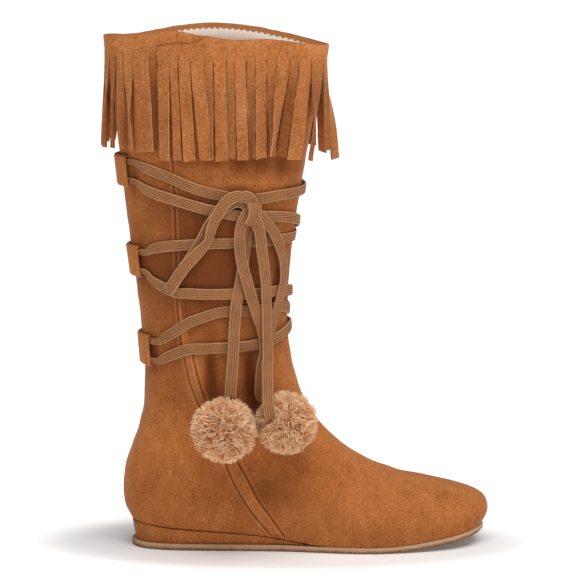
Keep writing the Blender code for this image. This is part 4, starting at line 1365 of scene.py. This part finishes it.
# Sizes of the solids, in which the lace's route is measured
SOLE_LENGTH = 0.251
HEEL_SETBACK = 0.0315
UPPER_HEIGHT = 0.364
LAST_BASE = 0.0016


def place_x(share: float) -> float:
    """A share of the sole length as a place on X."""
    return share * SOLE_LENGTH - HEEL_SETBACK


def place_z(share: float) -> float:
    """A share of the upper's height as a height."""
    return LAST_BASE + share * UPPER_HEIGHT


def along_table(xs: Sequence[float], ys: Sequence[float], x: float) -> float:
    """A smooth curve through a table's points that makes no bump of its own."""
    i = min(max(int(np.searchsorted(xs, x)) - 1, 0), len(xs) - 2)
    spans = [xs[k + 1] - xs[k] for k in range(len(xs) - 1)]
    slopes = [(ys[k + 1] - ys[k]) / spans[k] for k in range(len(spans))]

    def turn(k: int) -> float:
        """The slope at a point of the table."""
        if k == 0 or k == len(xs) - 1:
            return slopes[min(k, len(slopes) - 1)]
        before, after = slopes[k - 1], slopes[k]
        return 0.0 if before * after <= 0 else 2 * before * after / (before + after)

    t = (x - xs[i]) / spans[i]
    start = (2 * t - 3) * t * t + 1
    lead = ((t - 2) * t + 1) * t * spans[i]
    trail = (t - 1) * t * t * spans[i]
    return start * ys[i] + (1 - start) * ys[i + 1] + lead * turn(i) + trail * turn(i + 1)


class Turn(NamedTuple):
    """A point of the lace's way round the shaft, x and z as shares of the sole length and the height."""

    turn: int
    side: str
    x: float
    z: float


LOOP_HEIGHTS = (0.739, 0.563, 0.389)
LACE_ROUTE = (
    Turn(0, "near", 0.352, 0.680), Turn(0, "near", 0.277, 0.695), Turn(0, "near", 0.196, 0.710),
    Turn(0, "near", 0.104, 0.735), Turn(0, "near", 0.042, 0.750), Turn(0, "loop top", 0, 0),
    Turn(0, "far", 0.210, 0.695), Turn(1, "front", 0.0, 0.609), Turn(1, "near", 0.412, 0.608),
    Turn(1, "near", 0.339, 0.607), Turn(1, "near", 0.174, 0.603), Turn(1, "near", 0.072, 0.592),
    Turn(1, "loop top", 0, 1), Turn(1, "far", 0.230, 0.525), Turn(2, "front", 0.0, 0.463),
    Turn(2, "near", 0.422, 0.473), Turn(2, "near", 0.283, 0.473), Turn(2, "near", 0.185, 0.456),
    Turn(2, "near", 0.122, 0.428), Turn(2, "loop top", 0, 2), Turn(2, "far", 0.240, 0.416),
    Turn(3, "front", 0.0, 0.4335), Turn(3, "near", 0.403, 0.415), Turn(3, "near", 0.361, 0.407),
    Turn(3, "near", 0.174, 0.399), Turn(3, "near", 0.118, 0.385), Turn(3, "loop foot", 0, 2),
    Turn(3, "far", 0.230, 0.440), Turn(4, "front", 0.0, 0.500), Turn(4, "near", 0.422, 0.506),
    Turn(4, "near", 0.288, 0.507), Turn(4, "near", 0.146, 0.509), Turn(4, "near", 0.104, 0.517),
    Turn(4, "near", 0.066, 0.532), Turn(4, "loop foot", 0, 1), Turn(4, "far", 0.220, 0.590),
    Turn(5, "front", 0.0, 0.637), Turn(5, "near", 0.420, 0.654), Turn(5, "near", 0.311, 0.659),
    Turn(5, "near", 0.241, 0.669), Turn(5, "near", 0.126, 0.690), Turn(5, "near", 0.052, 0.707),
    Turn(5, "loop foot", 0, 0), Turn(5, "far", 0.230, 0.718), Turn(6, "front", 0.0, 0.702),
    Turn(6, "near", 0.420, 0.696), Turn(6, "near", 0.350, 0.690),
)


@dataclass
class LaceWraps:
    """The lace's turns round the shaft, through the loops at the back."""

    skin: Skin
    lace: RibbedLace
    node: str = "lace_wraps"
    loop_reach: float = 0.007
    mouth_room: float = 0.003
    bar_width: float = 0.0077
    loop_spread: float = 0.0068
    surface_gap: float = 0.0004
    crossing_lap: float = 0.0015
    gathered: float = 0.56
    half_turn: int = 3

    def build(self) -> bpy.types.Object:
        """Builds and dresses the wraps.

        Returns:
            The wraps' piece.
        """
        angles, heights, mouths = self._table()
        middle = self.half_turn * FULL_TURN
        sections = self._run(angles, heights, mouths, middle)
        return self.lace.dressed("laced_wraps", self.node, sections)

    def _edge(self, z: float, room: float) -> float:
        """Angle of a loop's near edge at a height, or some room in front of it."""
        middle, half_length, _ = self.skin.girth(z)
        return self.skin.angle_at(middle - half_length + self.loop_reach + room, z)

    def _table(self) -> tuple[list[float], list[float], list[float]]:
        """The whole turn angle and height at each point of the route, and the loops' mouths."""
        angles, heights, mouths = [], [], []
        for point in LACE_ROUTE:
            z = place_z(point.z)
            if point.side in ("near", "far"):
                angle = self.skin.angle_at(place_x(point.x), z, point.side == "far")
            elif point.side == "front":
                angle = 0.0
            else:
                spread = self.loop_spread if point.side == "loop top" else -self.loop_spread
                z = place_z(LOOP_HEIGHTS[int(point.z)]) + spread
                edge = self._edge(z, self.mouth_room)
                for turned in (edge, FULL_TURN - edge):
                    angles.append(point.turn * FULL_TURN + turned)
                    heights.append(z)
                    mouths.append(angles[-1])
                continue
            angles.append(point.turn * FULL_TURN + angle)
            heights.append(z)
        return angles, heights, mouths

    def _run(self, angles: list[float], heights: list[float], mouths: list[float],
             middle: float) -> list[Section]:
        """The sections of the whole run.

        Args:
            angles: the route's whole turn angles.
            heights: its heights.
            mouths: the angles at the loops' mouths.
            middle: the angle at which the rising half starts.

        Returns:
            The sections.
        """
        rows = []
        count = int((angles[-1] - angles[0]) / math.radians(1.5))
        for i in range(count + 1):
            turned = blend(angles[0], angles[-1], i / count)
            z = along_table(angles, heights, turned)
            place, normal = self.skin.around(turned % FULL_TURN, z)
            near_loop = max(math.exp(-((turned - mouth) / 0.16) ** 2) for mouth in mouths)
            between = any(a <= turned <= b for a, b in zip(mouths[::2], mouths[1::2]))
            gather = 1.0 if between else near_loop
            rising = smooth_step(middle - 0.5, middle + 0.3, turned)
            at_back = smooth_step(0.35, 0.9, abs(((turned % FULL_TURN) - math.pi)))
            lap = self.crossing_lap * rising * at_back
            rows.append((*place, *normal, gather, lap))
        even = spline(rows, self.lace.spacing)
        middles = [Vector(row[:3]) for row in even]
        sections = []
        for i, row in enumerate(even):
            way = (middles[min(i + 1, len(even) - 1)] - middles[max(i - 1, 0)]).normalized()
            away = Vector(row[3:6])
            away = (away - way * away.dot(way)).normalized()
            gather = min(max(row[6], 0.0), 1.0)
            width = self.bar_width * blend(1.0, self.gathered, gather)
            thickness = self.lace.thickness * blend(1.0, 1.15, gather)
            middle_point = middles[i] + away * (self.surface_gap + row[7] + thickness / 2)
            sections.append(Section(middle_point, away.cross(way).normalized(), away, width, thickness))
        return sections


StrandPoint = tuple[float, float, float, float]

# Each point of a free strand: x, z, how far it stands off the upper, and its turn in degrees
BOW_LEFT = (
    (0.0538, 0.2462, 0.0060, 0), (0.0534, 0.2508, 0.0068, 0), (0.0514, 0.2553, 0.0078, 3),
    (0.0476, 0.2578, 0.0080, 8), (0.0430, 0.2570, 0.0080, 10), (0.0374, 0.2530, 0.0080, 5),
    (0.0318, 0.2455, 0.0078, 0), (0.0272, 0.2350, 0.0074, -25), (0.0238, 0.2240, 0.0068, -35),
    (0.0165, 0.2147, 0.0064, -10), (0.0090, 0.2060, 0.0062, 0), (0.0030, 0.1965, 0.0060, 0),
    (-0.0012, 0.1895, 0.0056, 0), (-0.0028, 0.1872, 0.0046, 0), (-0.0012, 0.1895, 0.0036, 0),
    (0.0036, 0.1980, 0.0036, 0), (0.0096, 0.2075, 0.0038, 0), (0.0150, 0.2160, 0.0040, 0),
    (0.0200, 0.2255, 0.0042, 10), (0.0262, 0.2370, 0.0044, 15), (0.0335, 0.2455, 0.0046, 5),
    (0.0410, 0.2508, 0.0048, 0), (0.0474, 0.2508, 0.0048, 0), (0.0516, 0.2466, 0.0046, 0),
)
BOW_RIGHT = (
    (0.0526, 0.2452, 0.0062, 20), (0.0498, 0.2432, 0.0066, 15), (0.0466, 0.2370, 0.0068, 5),
    (0.0452, 0.2290, 0.0068, 0), (0.0452, 0.2190, 0.0068, 0), (0.0462, 0.2090, 0.0068, 0),
    (0.0500, 0.1930, 0.0068, 0), (0.0545, 0.1755, 0.0066, 5), (0.0592, 0.1610, 0.0064, 15),
    (0.0614, 0.1480, 0.0062, 20), (0.0604, 0.1350, 0.0062, 10), (0.0594, 0.1230, 0.0062, 0),
    (0.0598, 0.1140, 0.0060, 0), (0.0616, 0.1112, 0.0052, 0), (0.0634, 0.1140, 0.0042, 0),
    (0.0640, 0.1230, 0.0038, 0), (0.0636, 0.1350, 0.0038, 0), (0.0638, 0.1470, 0.0040, 0),
    (0.0660, 0.1611, 0.0042, 0), (0.0708, 0.1797, 0.0044, -5), (0.0737, 0.1975, 0.0046, -5),
    (0.0722, 0.2147, 0.0048, 0), (0.0676, 0.2290, 0.0052, 0), (0.0610, 0.2390, 0.0056, 10),
    (0.0570, 0.2430, 0.0056, 15),
)
END_LEFT = (
    (0.0520, 0.2435, 0.0036, 0), (0.0500, 0.2250, 0.0036, 0), (0.0480, 0.2100, 0.0036, 0),
    (0.0462, 0.1960, 0.0038, 0), (0.0434, 0.1820, 0.0042, 0), (0.0416, 0.1620, 0.0052, 0),
    (0.0400, 0.1400, 0.0085, 0), (0.0394, 0.1220, 0.0140, 0), (0.0396, 0.1150, 0.0170, 0),
)
END_RIGHT = (
    (0.0544, 0.2420, 0.0084, 0), (0.0568, 0.2330, 0.0088, 0), (0.0582, 0.2230, 0.0090, 0),
    (0.0594, 0.2090, 0.0090, 0), (0.0602, 0.1900, 0.0090, 0), (0.0606, 0.1740, 0.0090, 0),
    (0.0614, 0.1500, 0.0092, 0), (0.0632, 0.1350, 0.0130, 0), (0.0642, 0.1230, 0.0230, 0),
    (0.0650, 0.1120, 0.0345, 0), (0.0654, 0.1050, 0.0375, 0), (0.0656, 0.1005, 0.0345, 0),
)


@dataclass
class Bow:
    """The bow: two hanging loops, two ends and the knot that holds them."""

    skin: Skin
    lace: RibbedLace
    knot_x: float = 0.0532
    knot_z: float = 0.2432
    hug: float = 0.0090
    beside_steps: tuple[float, ...] = (-0.010, -0.005, 0.0, 0.005, 0.010)
    knot_width: float = 0.0108
    knot_rise: float = 0.0068
    knot_depth: float = 0.0060
    knot_off: float = 0.0058
    knot_bulk: float = 2.2
    knot_lean: float = 0.22
    knot_half_turns: float = 0.62
    knot_steps: int = 26

    def strand(self, name: str, node: str, route: Sequence[StrandPoint]) -> bpy.types.Object:
        """Args:
            name: the piece's name.
            node: the CAD node that it stands for.
            route: its points.

        Returns:
            The strand's piece.
        """
        rows = []
        for x, z, off, turn in spline(route, 0.002, 2):
            place, _ = self.skin.beside(x, z)
            around = [self.skin.beside(x + step, z)[1] for step in self.beside_steps]
            normal = sum(around, Vector()).normalized()
            close = min(off, self.hug)
            place = place + normal * close + Vector((0, -1, 0)) * (off - close)
            rows.append((*place, *normal, turn))
        even = spline(rows, self.lace.spacing)
        middles = [Vector(row[:3]) for row in even]
        sections, across = [], None
        for i, row in enumerate(even):
            way = (middles[min(i + 1, len(even) - 1)] - middles[max(i - 1, 0)]).normalized()
            normal = Vector(row[3:6]).normalized()
            level = normal.cross(way)
            if across is None or level.length > 0.8:
                side = level.normalized()
                across = side if across is None or side.dot(across) > 0 else -side
            else:
                across = (across - way * across.dot(way)).normalized()
            away = way.cross(across).normalized()
            twist = math.radians(row[6])
            turned = (across * math.cos(twist) + away * math.sin(twist)).normalized()
            out = way.cross(turned).normalized()
            if out.dot(normal) < 0 and level.length > 0.8 and i == 0:
                across, turned, out = -across, -turned, -out
            sections.append(Section(middles[i], turned, out, self.lace.width, self.lace.thickness))
        piece = self.lace.dressed(name, node, sections)
        return piece

    def knot(self) -> bpy.types.Object:
        """Builds the knot: the lace wound once over the bow's middle.

        Returns:
            The knot's piece.
        """
        place, normal = self.skin.beside(self.knot_x, self.knot_z)
        up = Vector((self.knot_lean, 0, 1)).normalized()
        up = (up - normal * up.dot(normal)).normalized()
        across = normal.cross(up).normalized()
        thickness = self.lace.thickness * self.knot_bulk
        sections = []
        for i in range(self.knot_steps + 1):
            turned = blend(-self.knot_half_turns, self.knot_half_turns, i / self.knot_steps) * math.pi
            rise = math.sin(turned) * self.knot_rise
            out = self.knot_off + math.cos(turned) * self.knot_depth
            middle = place + up * rise + normal * out
            away = (up * math.sin(turned) * 0.9 + normal * math.cos(turned)).normalized()
            pinch = 1 - 0.10 * math.cos(turned)
            sections.append(Section(middle, across, away, self.knot_width * pinch, thickness))
        return self.lace.dressed("bow_knot", "lace_knot", sections)


@dataclass
class Pompom:
    """A fluffy pompom: tufts of pile round a small core."""

    name: str
    node: str
    seed: int
    wool: Wool = field(default_factory=lambda: Wool("pompom_wool", "pompom_wool"))
    tufts: int = 620
    hairs: int = 12
    hair_radius: float = 0.00036
    core_share: float = 0.72
    spread: float = 0.085
    fluff: float = 1.07
    curl: float = 0.30

    def build(self) -> bpy.types.Object:
        """Builds and dresses the pompom.

        Returns:
            The pompom's piece.
        """
        low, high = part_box(self.node)
        low, high = Vector(low), Vector(high)
        middle = (low + high) / 2
        radius = (high - low).x / 2 * self.fluff
        chance = random.Random(self.seed)
        points, faces, pile = [], [], []
        for tuft in range(self.tufts):
            level = 1 - 2 * (tuft + 0.5) / self.tufts
            turned = tuft * math.pi * (3 - math.sqrt(5))
            flat = math.sqrt(1 - level * level)
            centre = Vector((flat * math.cos(turned), flat * math.sin(turned), level))
            reach = chance.uniform(0.93, 1.03)
            lean = Vector((chance.uniform(-1, 1), chance.uniform(-1, 1), chance.uniform(-1, 1))) * self.curl
            self._tuft(points, faces, pile, middle, radius, centre, reach, lean, chance)
        mesh = bpy.data.meshes.new(self.name)
        mesh.from_pydata(points, [], faces)
        write_attribute(mesh, "pile", *np.array(pile).T)
        shape = bmesh.new()
        shape.from_mesh(mesh)
        made = bmesh.ops.create_icosphere(shape, subdivisions=4, radius=radius * self.core_share)
        bmesh.ops.translate(shape, verts=made["verts"], vec=middle)
        settle(shape, mesh)
        shade_smooth(mesh)
        piece = new_piece(self.name, mesh, self.wool.slot, self.wool.material())
        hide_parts(self.node)
        return piece

    def _tuft(self, points: list, faces: list, pile: list, middle: Vector, radius: float, centre: Vector,
              reach: float, lean: Vector, chance: random.Random) -> None:
        """Adds one tuft of hairs that gather towards a tip.

        Args:
            points: the mesh's points so far.
            faces: its faces so far.
            pile: share of the pile's height and chance, at each point.
            middle: the pompom's middle.
            radius: its radius.
            centre: the tuft's way out of the ball.
            reach: the tip's distance as a share of the radius.
            lean: how the tip bends aside.
            chance: the seeded chances.
        """
        colour = chance.random()
        for _ in range(self.hairs):
            aside = Vector((chance.gauss(0, 1), chance.gauss(0, 1), chance.gauss(0, 1))) * self.spread
            root = (centre + aside * 1.3).normalized()
            tip = (centre + aside * 0.75 + lean * 0.5).normalized()
            length = reach * chance.uniform(0.90, 1.03)
            side = root.orthogonal().normalized()
            other = root.cross(side)
            base = len(points)
            levels = ((self.core_share * 0.9, 1.0), (0.80, 0.95), (0.93, 0.75), (1.0, 0.32))
            for level, thick in levels:
                share = (level - self.core_share) / (1 - self.core_share)
                way = root.lerp(tip, max(share, 0) ** 1.5).normalized()
                bend = lean * 0.05 * max(share, 0) ** 2
                spot = middle + (way * level * length + bend) * radius
                for corner in range(3):
                    turned = FULL_TURN * corner / 3
                    ring = (side * math.cos(turned) + other * math.sin(turned)) * self.hair_radius * thick
                    points.append(tuple(spot + ring))
                    pile.append((level * length, colour))
            for row in range(3):
                for corner in range(3):
                    nxt = (corner + 1) % 3
                    low, high = base + row * 3, base + row * 3 + 3
                    faces.append((low + corner, low + nxt, high + nxt, high + corner))
            faces.append((base + 2, base + 1, base))
            faces.append((base + 9, base + 10, base + 11))


@dataclass
class LaceLoop:
    """A strap at the back that the lace runs through."""

    node: str
    name: str
    edge_round: float = 0.00035
    edge_steps: int = 2
    sharp: float = 35.0
    smooth: float = 45.0
    suede: Suede = field(default_factory=lambda: Suede("suede_loop", "suede"))

    def build(self) -> bpy.types.Object:
        """Builds and dresses the loop.

        Returns:
            The loop's piece.
        """
        return softened_copy(self.node, self.name, self.suede.slot, self.suede.material(), self.edge_round,
                             self.edge_steps, self.sharp, self.smooth)


@dataclass
class SeamStrip:
    """The raised strip over the side seam, from the ankle to the sole."""

    skin: Skin
    node: str = "side_seam_strip"
    thickness: float = 0.0008
    lift: float = 0.00006
    steps: int = 44
    columns: int = 8
    nap_and_shade: float = 0.05
    suede: Suede = field(default_factory=lambda: Suede("suede_strip", "suede", seams=True))

    def build(self) -> bpy.types.Object:
        """Builds the strip between the two side seams, soft at its edges.

        Returns:
            The strip's piece.
        """
        back = spline(SEAM_BACK[2:], 0.004, 2)
        front = spline(SEAM_FRONT, 0.004, 2)
        shape = bmesh.new()
        rows = []
        for i in range(self.steps + 1):
            share = i / self.steps
            start = back[int(round(share * (len(back) - 1)))]
            end = front[int(round(share * (len(front) - 1)))]
            row = []
            for k in range(self.columns + 1):
                q = k / self.columns
                x, z = blend(start[0], end[0], q), blend(start[1], end[1], q)
                place, normal = self.skin.beside(x, z)
                fade = smooth_step(0.0, 0.25, share)
                height = self.thickness * (1 - abs(2 * q - 1) ** 4) * fade
                row.append(shape.verts.new(place + normal * (height + self.lift)))
            rows.append(row)
        for before, after in zip(rows, rows[1:]):
            for k in range(self.columns):
                shape.faces.new((before[k], before[k + 1], after[k + 1], after[k]))
        mesh = settle(shape, bpy.data.meshes.new("seam_cover"))
        write_seams(mesh)
        write_attribute(mesh, "nap_and_shade", self.nap_and_shade)
        write_attribute(mesh, "seam_foot", 1.0)
        shade_smooth(mesh)
        piece = new_piece("seam_cover", mesh, self.suede.slot, self.suede.material())
        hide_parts(self.node)
        return piece


@dataclass
class Sole:
    """The outsole, the covered wedge and the insole."""

    outsole_round: float = 0.0012
    wedge_round: float = 0.0005
    insole_round: float = 0.0008
    window: float = 0.004
    edge_height: float = 0.0043
    rubber: SoleRubber = field(default_factory=lambda: SoleRubber("outsole_tan", "outsole_tan"))
    suede: Suede = field(default_factory=lambda: Suede("wedge_suede", "wedge_suede"))
    lining: Lining = field(default_factory=lambda: Lining("sock_lining", "insole_lining"))

    def build(self) -> list[bpy.types.Object]:
        """Builds and dresses the sole's pieces.

        Returns:
            The pieces.
        """
        parts = (("outsole", "boot_outsole", self.rubber, self.outsole_round),
                 ("heel_wedge", "boot_wedge", self.suede, self.wedge_round),
                 ("insole", "boot_insole", self.lining, self.insole_round))
        pieces = [softened_copy(node, name, finish.slot, finish.material(), width)
                  for node, name, finish, width in parts]
        self._write_level(pieces[0].data)
        write_attribute(pieces[2].data, "rim", 1.0)
        return pieces

    def _write_level(self, mesh: bpy.types.Mesh) -> None:
        """Writes how high each point lies on the outsole's edge."""
        points = positions(mesh)
        order = np.argsort(points[:, 0])
        low = np.full(len(points), 0.0)
        xs = points[order, 0]
        zs = points[order, 2]
        for index, point in enumerate(points):
            first, last = np.searchsorted(xs, [point[0] - self.window, point[0] + self.window])
            low[index] = zs[first:last].min()
        write_attribute(mesh, "level", np.clip((points[:, 2] - low) / self.edge_height, 0.0, 1.0))


@dataclass
class Studio:
    """The pale floor, the soft lights and the camera."""

    target: tuple[float, float, float] = (0.0802, 0.0, 0.1846)
    elevation: float = 9.5
    distance: float = 3.2
    frame_width: float = 0.71e-3 * 576
    sensor: float = 36.0
    air: float = 0.16
    ceiling: float = 2.2
    ceiling_spread: float = 50.0
    ceiling_tilt: tuple[float, float, float] = (16.0, 12.0, 0.0)
    glow_near: float = 0.11
    glow_far: float = 0.55
    floor_size: float = 14.0
    shade_length: float = 0.175
    shade_depth: float = 0.090
    lamps: tuple[tuple[str, tuple[float, float, float], float, float], ...] = (
        ("collar_lamp", (0.0, -0.55, 0.95), 0.5, 1.1),
        ("toe_lamp", (0.42, -0.40, 0.60), 0.4, 0.5),
    )

    def build(self) -> None:
        """Adds the floor, the lights and the camera."""
        self._camera()
        self._floor()
        self._lights()

    def _camera(self) -> None:
        """The camera at the photograph's angle."""
        data = bpy.data.cameras.new("camera")
        data.sensor_width = self.sensor
        data.lens = self.sensor * self.distance / self.frame_width
        data.clip_end = 30.0
        camera = bpy.data.objects.new("camera", data)
        tilt = math.radians(self.elevation)
        x, y, z = self.target
        camera.location = (x, y - self.distance * math.cos(tilt), z + self.distance * math.sin(tilt))
        camera.rotation_euler = (math.pi / 2 - tilt, 0.0, 0.0)
        bpy.context.scene.collection.objects.link(camera)
        bpy.context.scene.camera = camera

    def _floor(self) -> None:
        """A pale floor that glows white away from the boot."""
        bpy.ops.object.select_all(action="DESELECT")
        bpy.ops.mesh.primitive_plane_add(size=1.0, location=(0, 0, 0))
        floor = bpy.context.active_object
        floor.name = "studio_floor"
        floor.scale = (self.floor_size, self.floor_size, 1.0)
        book = NodeBook("studio_white")
        x, y, _ = book.parts(book.place())
        along = (x * self.floor_size - self.target[0]) / self.shade_length
        beside = y * self.floor_size / self.shade_depth
        reach = (along * along + beside * beside) ** 0.5
        glow = reach.step(0.80, 1.20) * (self.glow_far - self.glow_near) + self.glow_near
        book.plug(book.shader.inputs["Emission Color"], book.mix(glow, (0, 0, 0, 1), (1, 1, 1, 1)))
        book.shader.inputs["Emission Strength"].default_value = 1.0
        book.finish((0.93, 0.93, 0.93, 1), 0.22, None, 0.0, (1, 1, 1, 1), 0.25)
        floor.data.materials.append(book.material)

    def _lights(self) -> None:
        """A white room, soft light from above, and lamps on the collar and the toe."""
        scene = bpy.context.scene
        world = bpy.data.worlds.new("studio_air")
        scene.world = world
        world.use_nodes = True
        world.node_tree.nodes["Background"].inputs["Color"].default_value = (1, 1, 1, 1)
        world.node_tree.nodes["Background"].inputs["Strength"].default_value = self.air
        sun_data = bpy.data.lights.new("ceiling", "SUN")
        sun_data.energy = self.ceiling
        sun_data.angle = math.radians(self.ceiling_spread)
        sun = bpy.data.objects.new("ceiling", sun_data)
        sun.rotation_euler = tuple(math.radians(angle) for angle in self.ceiling_tilt)
        scene.collection.objects.link(sun)
        for name, place, size, power in self.lamps:
            data = bpy.data.lights.new(name, "AREA")
            data.shape = "SQUARE"
            data.size = size
            data.energy = power
            light = bpy.data.objects.new(name, data)
            light.location = place
            aim = Vector((0.18, 0.0, 0.04)) if name == "toe_lamp" else Vector((self.target[0], 0.0, 0.25))
            way = aim - Vector(place)
            light.rotation_euler = way.to_track_quat("-Z", "Y").to_euler()
            scene.collection.objects.link(light)
        scene.view_settings.view_transform = "Standard"


def rim_table(mesh: bpy.types.Mesh, side: Side) -> list[tuple[float, float]]:
    """Height of the collar's rim along one side of the boot, from the upper's top points."""
    points = positions(mesh)
    points = points[(points[:, 2] > 0.33) & (points[:, 1] * side.value > -0.002)]
    low, high = points[:, 0].min(), points[:, 0].max()
    rows = []
    for i in range(41):
        x = blend(low, high, i / 40)
        close = points[np.abs(points[:, 0] - x) < 0.004]
        rows.append((x, float(close[:, 2].max())))
    return rows


def main() -> None:
    """Builds the boot on its frame."""
    logging.basicConfig(level=logging.INFO, format="%(name)s: %(message)s", stream=sys.stdout)
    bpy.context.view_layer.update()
    Studio().build()
    upper = Upper().build()
    skin = Skin(upper)
    lace = RibbedLace()
    bow = Bow(skin, lace)
    knot = bow.knot()
    left = Pompom("fluffy_pompom_left", "pompom_left", 5).build()
    right = Pompom("fluffy_pompom_right", "pompom_right", 8).build()
    bow.strand("bow_strand_left", "bow_loop_left", BOW_LEFT)
    bow.strand("bow_strand_right", "bow_loop_right", BOW_RIGHT)
    bow.strand("hanging_end_left", "lace_end_left", END_LEFT)
    bow.strand("hanging_end_right", "lace_end_right", END_RIGHT)
    LaceWraps(skin, lace).build()
    FringeCuff(skin, {side: rim_table(upper.data, side) for side in (Side.OUTER, Side.INNER)}).build()
    for node in ("lace_loop_top", "lace_loop_middle", "lace_loop_foot"):
        LaceLoop(node, node.replace("lace_loop", "back_loop")).build()
    SeamStrip(skin).build()
    Sole().build()


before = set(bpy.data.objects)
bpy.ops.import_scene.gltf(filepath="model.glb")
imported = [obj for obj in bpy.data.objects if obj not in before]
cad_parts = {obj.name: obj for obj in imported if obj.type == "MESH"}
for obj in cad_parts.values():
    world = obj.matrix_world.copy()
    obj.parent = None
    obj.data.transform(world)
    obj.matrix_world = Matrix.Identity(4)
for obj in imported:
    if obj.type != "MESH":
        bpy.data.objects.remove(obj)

if __name__ == "__main__":
    main()
